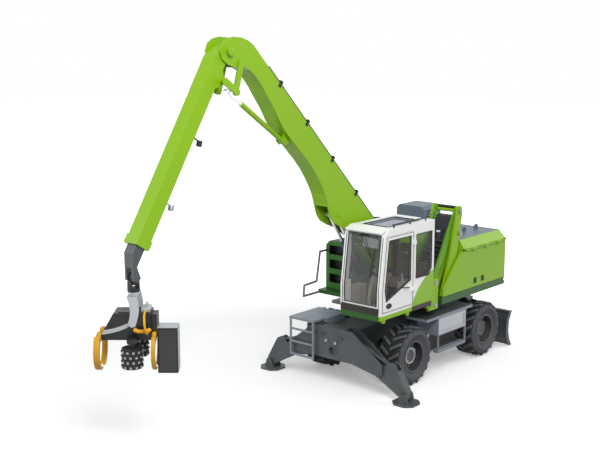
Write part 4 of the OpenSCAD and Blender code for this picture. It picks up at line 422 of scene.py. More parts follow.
finishes = {
    "lime": makeFinish("limePaint", paint["lime"], 0.36, dust=0.08, height=6.0, **limeGloss),
    "limeFrame": makeFinish(
        "limeFramePaint", paint["lime"], 0.36, coat=0.06, spec=0.22, dust=0.04,
        fields=[(zone, layer(1.0, 1.632), paint["limeDark"], 0),
                (zone, layer(1.0, 1.479), paint["black"], 0)]),
    "limeCover": makeFinish(
        "limeCoverPaint", paint["lime"], 0.36, dust=0.08, height=6.0, bump=0.05, plateFrom=2.646, **limeGloss,
        fields=[(zone, layer(2.646, beyond), paint["coverGrey"], 0)]),
    # lift arms: a darker lime than the rest, painted shade for their sides in shadow; the black field between
    # them is the hose chain's own colour
    "limeArmsShaded": makeFinish(
        "limeArmShadedPaint", (0.120, 0.330, 0.008), 0.36, dust=0.10, height=6.0, **limeGloss,
        fields=[(zone, box((-beyond, 0.668, 1.0), (beyond, 1.082, beyond)), paint["black"], 0)]),
    # tank: a darker lime, painted shade for its front in shadow, and a black field on its front face, painted
    # shade in the pocket
    "limeDark": makeFinish(
        "limePaintShaded", (0.035, 0.185, 0.014), 0.40, coat=0.05, spec=0.25, dust=0.1, height=3.0,
        fields=[(zone, box((0.90, -1.165, 1.4), (1.074, -0.545, 2.6)), paint["black"], 0)]),
    "rail": makeFinish("railPaint", (0.155, 0.175, 0.195), 0.36, coat=0.1, dust=0.1, height=3.0),
    "pin": makeFinish("pinSteel", (0.30, 0.32, 0.34), 0.34, metal=0.6, dust=0.2, height=3.0, mottle=0.2),
    "slate": makeFinish("slatePaint", paint["slate"], 0.42, coat=0.1, dust=0.35, height=1.6),
    "steelGrey": makeFinish("steelGreyPaint", paint["steelGrey"], 0.38, coat=0.15, dust=0.2, height=2.4),
    "steps": makeFinish(
        "stepPaint", (0.205, 0.245, 0.290), 0.40, coat=0.1, dust=0.25, height=1.9, bump=0.05, plateFrom=1.245,
        fields=[(zone, box((-0.48, 1.02, 0.85), (0.50, beyond, 1.172)), (0.42, 0.435, 0.46), 0.6),
                (zone, box((-0.9, -beyond, 1.246), (0.95, beyond, beyond)), paint["slate"], 0)]),
    "silver": makeFinish("silverPaint", (0.44, 0.47, 0.49), 0.34, metal=0.2, coat=0.1, height=3.0),
    "white": makeFinish("cabWhite", paint["white"], 0.34, **cabGloss, fields=[
        (swoosh, {}, paint["lime"], 0),
        (zone, box((0.815, 0.325, 1.662), (2.27, 1.232, 3.232)), paint["trim"], 0)]),
    "whiteDoor": makeFinish("doorWhite", paint["white"], 0.34, **cabGloss, fields=[
        (zone, box((1.0, 0.9, 1.5), (2.60, 1.233, 3.3)), paint["trim"], 0)]),
    "orange": makeFinish(
        "knifeOrange", (0.66, 0.34, 0.010), 0.40, spec=0.35, dust=0.2, mottle=0.3, bump=0.1),
    "black": makeFinish("blackPaint", paint["deepBlack"], 0.45, **dullBlack),
    "cabTrim": makeFinish("cabTrimPaint", paint["black"], 0.42, spec=0.3, dust=0.05, fields=[
        (zone, box((2.53, -beyond, 1.0), (beyond, beyond, 1.80)), (0.020, 0.016, 0.013), 0),
        (zone, box((2.53, -beyond, 1.0), (beyond, beyond, 1.665)), paint["limeDark"], 0)]),
    "chrome": makeFinish(
        "polishedRod", (0.72, 0.73, 0.75), 0.13, metal=1.0, dust=0.05, height=3.0, mottle=0.05),
    "iron": makeFinish("roughIron", (0.10, 0.10, 0.11), 0.6, dust=0.5, height=3.0, mottle=0.3, bump=0.2),
    "glass": makeGlass("tintedGlass", (0.060, 0.058, 0.055), 0.10, [
        (layer(3.20, beyond), (0.30, 0.36, 0.48), 0.62),
        (box((2.30, -beyond, 1.0), (beyond, beyond, 3.20)), (0.20, 0.21, 0.205), 0.17)]),
    "hose": makeFinish("orangeHose", (0.80, 0.42, 0.012), 0.5, spec=0.35, dust=0.2, bump=0.1),
    "cloth": makeFinish("seatCloth", (0.135, 0.105, 0.090), 0.9, dust=0.1, mottle=0.5, bump=0.4),
    "beige": makeFinish("consoleBeige", (0.36, 0.31, 0.25), 0.6, dust=0.1, bump=0.15),
    "chainGrey": makeFinish("chainGrey", (0.030, 0.034, 0.042), 0.38, dust=0.2, height=5.0),
    "headBlack": makeFinish("headCoverPaint", (0.008, 0.009, 0.011), 0.34, spec=0.3, dust=0.08, fields=[
        (headBand, {}, (0.50, 0.53, 0.55), 0)]),
    "headEdge": makeFinish("headEdgePaint", (0.022, 0.024, 0.027), 0.40, spec=0.35, mottle=0.2),
    "rubberLine": makeFinish("sealRubber", (0.016, 0.016, 0.017), 0.6, spec=0.3),
}

wheelPaint = {
    # the near-black band where the tread meets the wall is painted shade in the groove
    "tread": (0.095, 0.105, 0.122), "shadedGroove": (0.012, 0.013, 0.015), "wall": (0.082, 0.086, 0.102),
    "shadedGrooveRadii": (0.0, 0.556), "wallRadii": (0.0, 0.530),
    # the lip band is a shade darker than the rim, painted shade that keeps the rim's outer edge from catching
    # light
    "rim": (0.034, 0.039, 0.045), "shadedLip": (0.030, 0.034, 0.039), "shadedLipRadii": (0.283, 0.40),
    "hubs": {"front": (0.50, 0.52, 0.53), "rear": (0.045, 0.050, 0.056)},  # a bright ring at the front only
    "hubRadii": (0.128, 0.166),
}


def addWheelFinishes(end, axle):
    def band(radii, color):
        return (wheelBand, {"Axle X": axle, "Inner": radii[0], "Outer": radii[1]}, color, 0)

    plan = wheelPaint
    finishes["tyre" + end] = makeFinish(
        "tyreRubber." + end, plan["tread"], 0.72, dust=0.25, height=1.3, mottle=0.35, bump=0.25, spec=0.3,
        fields=[band(plan["shadedGrooveRadii"], plan["shadedGroove"]), band(plan["wallRadii"], plan["wall"])])
    finishes["rim" + end] = makeFinish(
        "rimPaint." + end, plan["rim"], 0.42, coat=0.1, dust=0.3, height=1.5,
        fields=[band(plan["shadedLipRadii"], plan["shadedLip"]), band(plan["hubRadii"], plan["hubs"][end])])


addWheelFinishes("front", axleX - midX)
addWheelFinishes("rear", -axleX - midX)

rollerPaint = {"offset": 0.33, "spikesFrom": 0.171, "spike": (0.34, 0.35, 0.36), "metal": 0.5}
for side, sign in (("left", 1), ("right", -1)):  # bright spikes on the feed rollers
    post = {"Post": tuple(headAt(0, sign * rollerPaint["offset"], 0)), "Inner": rollerPaint["spikesFrom"]}
    finishes["roller" + side] = makeFinish(
        "rollerSteel." + side, paint["deepBlack"], 0.5, **dullBlack,
        fields=[(postBand, post, rollerPaint["spike"], rollerPaint["metal"])])

paintPlan = {
    "lime": "stick_barrel engine_door lift_links boom rocker coupler stick cab_base",
    "limeFrame": "upper_frame",
    "limeCover": "engine_housing",
    "limeArmsShaded": "lift_arms",
    "limeDark": "tank",
    "slate": "chassis axles knuckle_left knuckle_right leg_left leg_right foot_left foot_right leg_barrels "
             "blade blade_barrels cab_barrel lift_barrels leg_rod_left leg_rod_right",
    "steelGrey": "inner_stick",
    "rail": "handrail",
    "steps": "steps",
    "silver": "bracket",
    "tyrefront": "tyre_front_left tyre_front_right",
    "tyrerear": "tyre_rear_left tyre_rear_right",
    "rimfront": "rim_front_left rim_front_right",
    "rimrear": "rim_rear_left rim_rear_right",
    "chrome": "blade_rods cab_rod lift_rods stick_rod",
    "iron": "engine counterweight",
    "white": "cab_shell",
    "whiteDoor": "cab_door",
    "glass": "cab_glass door_glass",
    "cloth": "seat",
    "black": "swing_link rotator boom_pipes",
    "rollerleft": "roller_left",
    "rollerright": "roller_right",
    "cabTrim": "cab_trim",
    "headBlack": "head_frame",
    "hose": "head_hose",
    "orange": "knives_left knives_right",
}


def paintNodes():
    for finish, names in paintPlan.items():
        for name in names.split():
            mesh = nodes[name].data
            mesh.materials.clear()
            mesh.materials.append(finishes[finish])


paintNodes()
print("solids painted")


# modelling helpers
def calm():
    if bpy.context.object is not None and bpy.context.object.mode != "OBJECT":
        bpy.ops.object.mode_set(mode="OBJECT")
    bpy.ops.object.select_all(action="DESELECT")


def take(obj):  # only this piece is selected
    calm()
    obj.select_set(True)
    bpy.context.view_layer.objects.active = obj
    return obj


def settle(obj, name):  # its place goes into its mesh
    obj.name = obj.data.name = name
    take(obj)
    bpy.ops.object.transform_apply(location=True, rotation=True, scale=True)
    return obj


def editAll(obj):  # into edit mode with the whole mesh selected
    take(obj)
    bpy.ops.object.mode_set(mode="EDIT")
    bpy.ops.mesh.select_all(action="SELECT")


def faceOut():  # out of edit mode with every face pointing outwards
    bpy.ops.mesh.select_all(action="SELECT")
    bpy.ops.mesh.normals_make_consistent(inside=False)
    bpy.ops.object.mode_set(mode="OBJECT")


def newBlock(name, low, high):
    calm()
    bpy.ops.mesh.primitive_cube_add(size=1, location=(low + high) / 2)
    bpy.context.object.scale = high - low
    return settle(bpy.context.object, name)


def newDrum(name, start, end, radius, sides=24):
    calm()
    line = end - start
    bpy.ops.mesh.primitive_cylinder_add(
        vertices=sides, radius=radius, depth=line.length, location=(start + end) / 2,
        rotation=line.to_track_quat("Z", "Y").to_euler())
    return settle(bpy.context.object, name)


def chooseFaces(obj, test):
    take(obj)
    bpy.context.tool_settings.mesh_select_mode = (False, False, True)
    for part in (obj.data.vertices, obj.data.edges):
        for item in part:
            item.select = False
    for face in obj.data.polygons:
        face.select = test(face)
    bpy.ops.object.mode_set(mode="EDIT")


def insetFaces(obj, test, rim, depth):  # a panel that is set in, or stands out where depth is minus
    chooseFaces(obj, test)
    bpy.ops.mesh.inset(thickness=rim, depth=-depth)
    bpy.ops.object.mode_set(mode="OBJECT")
    return obj


def facing(x, y, z):
    line = Vector((x, y, z)).normalized()
    return lambda face: face.normal.dot(line) > 0.9


forward, leftward, upward = facing(1, 0, 0), facing(0, 1, 0), facing(0, 0, 1)


def capFace(x, y, z):  # the many-sided face left inside a rim
    test = facing(x, y, z)
    return lambda face: test(face) and len(face.vertices) > 8


def softEdges(obj, width, parts=2, angle=0.6):
    take(obj)
    edge = obj.modifiers.new("softEdges", "BEVEL")
    edge.width = width
    edge.segments = parts
    edge.limit_method = "ANGLE"
    edge.angle_limit = angle
    bpy.ops.object.modifier_apply(modifier=edge.name)
    bpy.ops.object.shade_smooth_by_angle(angle=0.7)
    return obj


def panelled(obj, test, rim, depth, edge, parts=2):  # a set-in panel, then soft edges
    return softEdges(insetFaces(obj, test, rim, depth), edge, parts)


def copyBy(obj, name, move):
    take(obj)
    bpy.ops.object.duplicate(linked=False)
    bpy.ops.transform.translate(value=move)
    return settle(bpy.context.object, name)


def mirrorOver(obj, name):  # a copy on the other side of the machine
    take(obj)
    bpy.ops.object.duplicate(linked=False)
    twin = bpy.context.object
    twin.scale = (1, -1, 1)
    editAll(settle(twin, name))
    faceOut()
    return twin


def joined(pieces, name):
    calm()
    for piece in pieces:
        piece.select_set(True)
    bpy.context.view_layer.objects.active = pieces[0]
    bpy.ops.object.join()
    pieces[0].name = pieces[0].data.name = name
    return pieces[0]


def newLine(name, points, radius, handle, parts):  # a round curve through the points
    calm()
    bpy.ops.curve.primitive_bezier_curve_add(location=(0, 0, 0))
    obj = bpy.context.object
    obj.name = obj.data.name = name
    line = obj.data.splines[0]
    line.bezier_points.add(len(points) - 2)
    for knot, point in zip(line.bezier_points, points):
        knot.co = point
        knot.handle_left_type = knot.handle_right_type = handle
    obj.data.dimensions = "3D"
    obj.data.resolution_u = parts
    obj.data.bevel_depth = radius
    obj.data.bevel_resolution = 3
    obj.data.use_fill_caps = True
    return obj


def newTube(name, points, radius, closed=False, straight=False):
    obj = newLine(name, points, radius, "VECTOR" if straight else "AUTO", 3 if straight else 8)
    obj.data.splines[0].use_cyclic_u = closed
    obj.data.use_fill_caps = not closed
    take(obj)
    bpy.ops.object.convert(target="MESH")
    bpy.ops.object.shade_smooth_by_angle(angle=0.9)
    return settle(bpy.context.object, name)


def ready(obj, finish, body):
    obj.data.materials.clear()
    obj.data.materials.append(finishes[finish])
    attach(obj, body)
    return obj


def rubber(obj, body):
    ready(obj, "rubberLine", body)


# seals round the panes
seals = {
    "radius": 0.012,
    "door": [(1.59, 2.187), (2.36, 1.898), (2.396, 2.123), (2.284, 3.041), (1.59, 3.041)],
    "side": [(0.89, 2.316), (0.98, 2.187), (1.41, 2.187), (1.41, 3.041), (0.89, 3.041)],
    "right": [(0.89, 2.187), (2.36, 2.187), (2.23, 3.041), (0.89, 3.041)],
    "screen": [(2.54, 0.40, 1.83), (2.54, 0.40, 2.123), (2.41, 0.40, 3.137),
               (2.41, 1.16, 3.137), (2.54, 1.16, 2.123), (2.54, 1.16, 1.83)],
    "rear": [(0.80, 0.40, 2.365), (0.80, 1.16, 2.365), (0.80, 1.16, 3.041), (0.80, 0.40, 3.041)],
    "roof": [(1.07, 0.49, 3.25), (2.09, 0.49, 3.25), (2.09, 1.07, 3.25), (1.07, 1.07, 3.25)],
}


def addSeal(name, points, body, radius=seals["radius"]):
    rubber(newTube(name, points, radius, closed=True, straight=True), body)


def addSeals():
    addSeal("sideSeal", [at(x, doorSide, z) for x, z in seals["side"]], "cab")
    addSeal("rightSeal", [at(x, innerSide, z) for x, z in seals["right"]], "cab")
    for name in ("screen", "rear", "roof"):
        addSeal(name + "Seal", [at(*point) for point in seals[name]], "cab")
    addSeal("doorSeal", [at(x, doorSide, z) for x, z in seals["door"]], "cab_door")


addSeals()
print("seals set")

# wipers on the windscreen, hooks under the visor and dark gaps in the front pillars
wipers = {
    "arm": 0.007, "blade": 0.011, "lift": 0.022, "tops": [0.72, 0.80], "topZ": 3.12, "foot": (1.03, 2.66),
    "bladeLow": Vector((0.03, -0.05, -0.30)), "bladeHigh": Vector((-0.03, 0.03, 0.24)),
    "hooks": [0.52, 0.62, 0.90, 1.00, 1.09], "hookZ": 3.13, "hookRadius": 0.007,
    "hookLine": [(0, -0.02, 0.02), (0.02, -0.01, -0.03), (0.012, 0.015, -0.045), (0, 0.02, -0.02)],
    "gap": 0.007, "gaps": [("Right", 0.355), ("Left", 1.205)], "gapZ": (1.70, 2.123, 3.11),
}
screen = {"face": 2.54, "bendZ": 2.123, "lean": 0.13, "rise": 1.014}  # upright below its bend


def screenX(z):  # the windscreen's outer face at a height
    return screen["face"] - screen["lean"] * max(0, z - screen["bendZ"]) / screen["rise"]


def addWipers():
    footY, footZ = wipers["foot"]
    foot = at(screenX(footZ) + wipers["lift"], footY, footZ)
    parts = []
    for i, topY in enumerate(wipers["tops"]):
        top = at(screenX(wipers["topZ"]) + wipers["lift"] * 1.3, topY, wipers["topZ"])
        bow = top.lerp(foot, 0.5) + Vector((0.012, 0, 0))
        parts.append(newTube("wiperArm%d" % i, [top, bow, foot], wipers["arm"]))
        stud = newDrum("wiperStud%d" % i, top - Vector((0.03, 0, 0)), top + Vector((0.02, 0, 0)), 0.022, 16)
        parts.append(panelled(stud, forward, 0.006, -0.006, 0.003))
    blade = [foot + wipers["bladeLow"], foot - Vector((0.006, 0, 0)), foot + wipers["bladeHigh"]]
    parts.append(newTube("wiperBlade", blade, wipers["blade"]))
    x = screenX(wipers["hookZ"]) + 0.012
    for i, y in enumerate(wipers["hooks"]):
        hook = [at(x, y, wipers["hookZ"]) + Vector(point) for point in wipers["hookLine"]]
        parts.append(newTube("visorHook%d" % i, hook, wipers["hookRadius"]))
    rubber(joined(parts, "wipers"), "cab")
    for name, y in wipers["gaps"]:
        line = [at(screenX(z) + 0.001, y, z) for z in wipers["gapZ"]]
        rubber(newTube("pillarGap" + name, line, wipers["gap"], straight=True), "cab")


addWipers()
print("wipers set")

# driver's seat: corners and points measured from the foot of its back
seatPlan = {
    "place": (1.13, 0.78, 1.68), "crown": 0.022, "pull": 0.014, "edgeDrop": 0.012,
    "pads": [  # name, corners, the axis that is crowned, fill
        ("seatCushion", (-0.01, -0.25, 0.29), (0.50, 0.25, 0.42), 2, 0.7),
        ("seatBack", (-0.13, -0.23, 0.36), (0, 0.23, 0.88), 0, 0.7),
        ("headRest", (-0.12, -0.14, 0.90), (-0.01, 0.14, 1.08), 0, 0.8),
    ],
    "stem": ((-0.07, 0, 0.84), (-0.07, 0, 0.94), 0.012), "base": ((0.02, -0.16, 0), (0.42, 0.16, 0.29)),
}


def seatAt(x, y, z):
    return at(*seatPlan["place"]) + Vector((x, y, z))


def newPad(name, low, high, up):
    pad = newBlock(name, low, high)
    editAll(pad)
    bpy.ops.mesh.subdivide(number_cuts=5)
    bpy.ops.object.mode_set(mode="OBJECT")
    mid, half = (low + high) / 2, (high - low) / 2
    first, second = [i for i in range(3) if i != up]
    for v in pad.data.vertices:
        t = [(v.co[i] - mid[i]) / half[i] for i in range(3)]
        if t[up] > 0:  # crowned in the middle, lower along the seams
            v.co[up] += seatPlan["crown"] * (1 - t[first] ** 2) * (1 - t[second] ** 2)
            v.co[up] -= seatPlan["edgeDrop"] * (t[first] ** 8 + t[second] ** 8)
        for i, other in ((first, second), (second, first)):  # sides pull in between the corners
            v.co[i] -= t[i] * seatPlan["pull"] * (1 - t[other] ** 2) * abs(t[i])
    smooth = pad.modifiers.new("smooth", "SUBSURF")
    smooth.levels = smooth.render_levels = 2
    take(pad)
    bpy.ops.object.modifier_apply(modifier=smooth.name)
    bpy.ops.object.shade_smooth()
    return pad


def addSeat():
    for name, low, high, up, fill in seatPlan["pads"]:
        pad = ready(newPad(name, seatAt(*low), seatAt(*high), up), "cloth", "cab")
        if name == "seatCushion":
            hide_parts("seat")
    low, high, radius = seatPlan["stem"]
    stem = newDrum("headRestStem", seatAt(*low), seatAt(*high), radius, 12)
    ready(softEdges(stem, 0.003), "chrome", "cab")
    base = newBlock("seatBase", *[seatAt(*corner) for corner in seatPlan["base"]])
    rubber(panelled(base, lambda f: abs(f.normal.z) < 0.3, 0.03, 0.02, 0.012), "cab")


addSeat()

# consoles beside the seat, and what stands on the cab's floor
consoles = {
    "aside": 0.32, "low": (0.02, -0.06, 0), "high": (0.60, 0.06, 0.46),
    "joystick": [(0.50, 0, 0.45), (0.51, 0, 0.54), (0.53, 0, 0.61)], "joystickRadius": 0.018,
    "dash": ((2.06, 0.37, 1.68), (2.30, 0.58, 2.10)), "visor": ((2.255, 0.62, 2.86), (2.275, 0.98, 3.05)),
    "mat": ((1.66, 0.38, 1.682), (2.42, 1.16, 1.695)),
}
steering = {
    "column": [(2.30, 0.80, 1.68), (2.26, 0.80, 2.03), (2.14, 0.80, 2.30)], "columnRadius": 0.038,
    "middle": (2.13, 0.80, 2.325), "ring": 0.165, "grip": 0.014, "lean": -0.5,
    "hub": ((2.145, 0.80, 2.29), (2.125, 0.80, 2.34), 0.05), "spokes": (1.57, -1.57, 3.14),
    "spokeRadius": 0.011, "spokeRun": 0.145, "spokeRise": 0.079, "spokeFoot": Vector((0, 0, -0.005)),
}


def addConsoles():
    for side, name in ((-1, "Right"), (1, "Left")):
        aside = Vector((0, side * consoles["aside"], 0))
        desk = newBlock("console" + name, seatAt(*consoles["low"]) + aside, seatAt(*consoles["high"]) + aside)
        ready(panelled(desk, upward, 0.018, 0.008, 0.018, 3), "beige", "cab")
        line = [seatAt(*point) + aside for point in consoles["joystick"]]
        ready(newTube("joystick" + name, line, consoles["joystickRadius"]), "silver", "cab")
    dash = newBlock("dashBox", *[at(*corner) for corner in consoles["dash"]])
    insetFaces(dash, forward, 0.025, 0.012)
    ready(panelled(dash, leftward, 0.025, 0.010, 0.02, 3), "beige", "cab")


def addSteering():
    column = newTube("steerColumn", [at(*point) for point in steering["column"]], steering["columnRadius"])
    ready(column, "beige", "cab")
    middle, ring = at(*steering["middle"]), steering["ring"]
    calm()
    bpy.ops.mesh.primitive_torus_add(
        major_radius=ring, minor_radius=steering["grip"], major_segments=36, minor_segments=10,
        location=middle, rotation=(0, steering["lean"], 0))
    parts = [settle(bpy.context.object, "steerWheel")]
    low, high, radius = steering["hub"]
    parts.append(softEdges(newDrum("steerHub", at(*low), at(*high), radius, 20), 0.006))
    for i, turn in enumerate(steering["spokes"]):
        across = math.cos(turn)
        tip = Vector((steering["spokeRun"] * across, ring * math.sin(turn), steering["spokeRise"] * across))
        line = [middle + steering["spokeFoot"], middle + tip]
        parts.append(newTube("spoke%d" % i, line, steering["spokeRadius"], straight=True))
    rubber(joined(parts, "steerWheel"), "cab")


def addCabTrim():
    visor = newBlock("sunVisor", *[at(*corner) for corner in consoles["visor"]])
    ready(panelled(visor, lambda f: abs(f.normal.x) > 0.9, 0.02, 0.004, 0.006, 3), "silver", "cab")
    mat = newBlock("floorMat", *[at(*corner) for corner in consoles["mat"]])
    rubber(panelled(mat, upward, 0.04, 0.004, 0.003), "cab")


addConsoles()
addSteering()
addCabTrim()
print("seat and consoles set")

# fittings on the cab and the engine door
fittings = {
    "seatY": 1.244, "lockY": 1.262, "latchY": 1.266,
    "lock": (2.275, 1.805), "lockRadius": 0.075, "lockOval": (1.15, 1, 0.68),
    "handle": (1.66, 1.245, 2.05), "handleRadius": 0.010,
    "handleLine": [(0, 0, 0), (0.02, 0.04, 0.01), (0.16, 0.04, 0.03), (0.18, 0, 0.03)],
    "latches": [(-0.744, 1.765), (-1.034, 1.765)], "latchHalf": (0.045, 0.055),
}


def addFittings():
    (x, z), seat = fittings["lock"], fittings["seatY"]
    lock = newDrum("doorLock", at(x, seat, z), at(x, fittings["lockY"], z), fittings["lockRadius"], 32)
    insetFaces(lock, leftward, 0.016, 0.006)
    editAll(lock)
    bpy.ops.transform.resize(value=fittings["lockOval"], center_override=at(x, doorSide, z))
    bpy.ops.object.mode_set(mode="OBJECT")
    rubber(softEdges(lock, 0.004), "cab_door")
    line = [at(*fittings["handle"]) + Vector(point) for point in fittings["handleLine"]]
    rubber(newTube("doorGrip", line, fittings["handleRadius"]), "cab_door")
    wide, tall = fittings["latchHalf"]
    for i, (x, z) in enumerate(fittings["latches"]):
        low, high = at(x - wide, seat, z - tall), at(x + wide, fittings["latchY"], z + tall)
        latch = newBlock("doorLatch.%d" % i, low, high)
        rubber(panelled(latch, leftward, 0.014, 0.008, 0.008, 3), "engine_door")


addFittings()

# hose chain between the cab's lift arms
chain = {
    "links": 24, "top": (-0.13, 0, 3.16), "low": (0.42, 0, 2.17), "lean": -0.35,
    "linkLow": (-0.055, 0.70, -0.0155), "linkHigh": (0.055, 1.05, 0.0155),
}


def addChain():
    top, low = at(*chain["top"]), at(*chain["low"])
    step = (low - top) / (chain["links"] - 1)
    link = newBlock("chainLink", Vector(chain["linkLow"]), Vector(chain["linkHigh"]))
    take(panelled(link, lambda f: abs(f.normal.x) > 0.9, 0.007, 0.012, 0.004))
    bpy.ops.transform.rotate(value=chain["lean"], orient_axis="Y", center_override=(0, 0, 0))
    settle(link, "chainLink")
    links = [copyBy(link, "chainLink%d" % i, top + step * i) for i in range(chain["links"])]
    bpy.data.objects.remove(link)
    ready(joined(links, "hoseChain"), "chainGrey", "lift_arms")


addChain()
print("cab fittings and hose chain set")

# wheel nuts and hub bolts
wheelNuts = {
    "nuts": {"count": 10, "ring": 0.222, "face": 1.026, "size": 0.019, "tall": 0.020},
    "bolts": {"count": 8, "ring": 0.118, "face": 1.09, "size": 0.013, "tall": 0.010},
}


def nutRing(name, x):
    plan = wheelNuts[name]
    count, top, face, tall = plan["count"], axleZ + plan["ring"], plan["face"], plan["tall"]
    nut = newDrum(name, at(x, face - 0.003, top), at(x, face + tall, top), plan["size"], 6)
    editAll(panelled(nut, leftward, plan["size"] * 0.34, -tall * 0.6, 0.002, 1))
    bpy.ops.mesh.spin(steps=count - 1, dupli=True, angle=math.tau * (count - 1) / count,
                      center=at(x, face, axleZ), axis=(0, 1, 0))
    faceOut()
    return nut


def addWheelNuts():
    for end, x in (("front", axleX), ("rear", -axleX)):
        left = joined([nutRing("nuts", x), nutRing("bolts", x)], "wheelNuts_%s_left" % end)
        right = mirrorOver(left, "wheelNuts_%s_right" % end)
        for piece, side in ((left, "left"), (right, "right")):
            ready(piece, "pin", "wheel_%s_%s" % (end, side))


addWheelNuts()
print("wheel nuts set")

# caps over the pins
pinCaps = {
    "tall": 0.012, "sunk": 0.004,
    "pins": [  # body, centre, axis, radius
        *[("upper", (-0.19, y, z), (0, turn, 0), 0.050)
          for y, turn in ((1.215, 1), (0.535, -1)) for z in (3.28, 2.83)],
        *[("cab", (0.613, 1.19, z), (0, 1, 0), 0.050) for z in (1.943, 1.493)],
        *[("stick", (5.36, turn * 0.251, 6.531), (0, turn, 0), 0.075) for turn in (1, -1)],
        *[("leg_" + side, (2.361, turn * y, z), (1, 0, 0), radius)
          for y, z, radius in ((1.11, 0.46, 0.055), (1.68, 0.155, 0.036))
          for side, turn in (("left", 1), ("right", -1))],
    ],
}


def addPinCaps():
    for i, (body, place, axis, radius) in enumerate(pinCaps["pins"]):
        line, middle = Vector(axis), at(*place)
        start, end = middle - line * pinCaps["sunk"], middle + line * pinCaps["tall"]
        cap = newDrum("pinCap.%d" % i, start, end, radius, 28)
        insetFaces(cap, facing(*axis), radius * 0.3, 0.005)
        panelled(cap, capFace(*axis), radius * 0.25, -0.009, 0.003)
        finish, slotName = ("lime", "green") if body == "stick" else ("pin", "steel")
        ready(cap, finish, body)


addPinCaps()
print("pin caps set")

# ribbed hose on the head
headHose = {"middle": (-0.15, 0.20, -0.11), "ring": 0.11, "radius": 0.025, "ribs": 15, "ribRim": 0.003,
            "ribTall": 0.008}


def headBlock(name, low, high):  # square to the head, not to the machine
    block = newBlock(name, Vector(low), Vector(high))
    take(block)
    turn = math.atan2(headAlong.y, headAlong.x)
    bpy.ops.transform.rotate(value=-turn, orient_axis="Z", center_override=(0, 0, 0))
    bpy.ops.transform.translate(value=headPin)
    return settle(block, name)


def addHeadHose():
    middle, steps = headAt(*headHose["middle"]), headHose["ribs"] * 2
    calm()
    bpy.ops.mesh.primitive_circle_add(
        vertices=20, radius=headHose["radius"], location=middle + headAlong * headHose["ring"],
        rotation=headSide.to_track_quat("Z", "Y").to_euler())
    hose = settle(bpy.context.object, "ribbedHose")
    editAll(hose)
    bpy.ops.mesh.spin(steps=steps, angle=-math.pi, center=middle, axis=(0, 0, 1))
    faceOut()

    def inRib(face):
        off = face.center - middle
        return int(math.atan2(off.dot(headSide), off.dot(headAlong)) / math.pi * steps) % 2 == 0

    insetFaces(hose, inRib, headHose["ribRim"], -headHose["ribTall"])
    bpy.ops.object.shade_smooth_by_angle(angle=0.6)
    ready(hose, "hose", "head")
    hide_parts("head_hose")


addHeadHose()

# bosses on the knives' pins, and flanges along their backs
knives = {
    "pin": (0.15, -0.22), "at": (0.502, -0.358), "thick": 0.04, "boss": 0.066,
    "middle": (0.0827, -0.4711), "back": 0.297, "rim": 0.018, "wide": (0.095, 0.060),
    "start": 1.0, "turn": -2.35, "steps": 14, "merge": 0.0002,
}


def knifeFlange(name, x, wide, side):
    rim, start = knives["rim"], knives["start"]
    middle = headAt(x, side * knives["middle"][0], knives["middle"][1])
    out = headSide * side * math.cos(start) + Vector((0, 0, math.sin(start)))
    calm()
    bpy.ops.mesh.primitive_plane_add(size=1, location=(0, 0, 0))
    strip = bpy.context.object
    strip.scale = (wide, rim, 1)
    settle(strip, name)
    strip.matrix_world = Matrix((headAlong, out, headAlong.cross(out))).transposed().to_4x4()
    strip.location = middle + headAlong * wide / 2 + out * (knives["back"] + rim / 2)
    editAll(settle(strip, name))
    bpy.ops.mesh.spin(steps=knives["steps"], angle=-knives["turn"] * side, center=middle, axis=headAlong)
    bpy.ops.mesh.select_all(action="SELECT")
    bpy.ops.mesh.remove_doubles(threshold=knives["merge"])
    faceOut()
    return softEdges(strip, 0.004)


def addKnifeBosses():
    y, z = knives["pin"]
    outward = facing(*headAlong)
    for side, name in ((1, "left"), (-1, "right")):
        parts, mid = [], side * y
        for i, x in enumerate(knives["at"]):
            end = x + knives["thick"]
            start, stop = headAt(x - 0.002, mid, z), headAt(end + 0.016, mid, z)
            boss = newDrum("boss%d" % i, start, stop, knives["boss"], 28)
            parts.append(panelled(boss, outward, 0.022, -0.012, 0.005))
            low, high = (x + 0.004, mid - 0.045, z - 0.10), (end - 0.004, mid + 0.045, z + 0.02)
            parts.append(panelled(headBlock("lug%d" % i, low, high), outward, 0.016, -0.010, 0.010, 3))
            parts.append(knifeFlange("flange%d" % i, x, knives["wide"][i], side))
        ready(joined(parts, "knifeBosses_" + name), "orange", "knives_" + name)


addKnifeBosses()

# plates on the saw box, cover plate and valve block
headTrim = {
    "sawX": (-0.69, -0.37), "sawHalf": 0.13, "sawZ": (-0.84, -0.10), "plate": 0.008,
    "cover": ((-0.10, -0.155, 0.149), (0.235, 0.155, 0.160)),
    "valve": ((-0.265, -0.12, 0.149), (-0.125, 0.12, 0.215)),
    "fittings": [-0.075, -0.025, 0.025, 0.075], "fitting": 0.018, "fittingX": -0.195,
    "fittingZ": (0.215, 0.262),
}


def addSawTrim():
    (x0, x1), half, (z0, z1) = headTrim["sawX"], headTrim["sawHalf"], headTrim["sawZ"]
    for side, name in ((1, "left"), (-1, "right")):
        y0, y1 = sorted((side * half, side * (half + headTrim["plate"])))
        plate = headBlock("sawPlate_" + name, (x0 + 0.02, y0, z0 + 0.03), (x1 - 0.02, y1, z1 - 0.03))
        ready(panelled(plate, facing(*(headSide * side)), 0.022, 0.005, 0.003), "headEdge", "head")
    rim = headBlock("sawRim", (x0 - 0.006, -half - 0.004, z1 - 0.006), (x1 + 0.004, half + 0.004, z1 + 0.012))
    ready(panelled(rim, upward, 0.03, 0.006, 0.004), "silver", "head")
    edge = headBlock("sawEdge", (x0 - 0.008, -half + 0.02, z0 + 0.02), (x0 + 0.004, half - 0.02, z1 - 0.02))
    ready(panelled(edge, facing(*-headAlong), 0.03, 0.005, 0.003), "silver", "head")


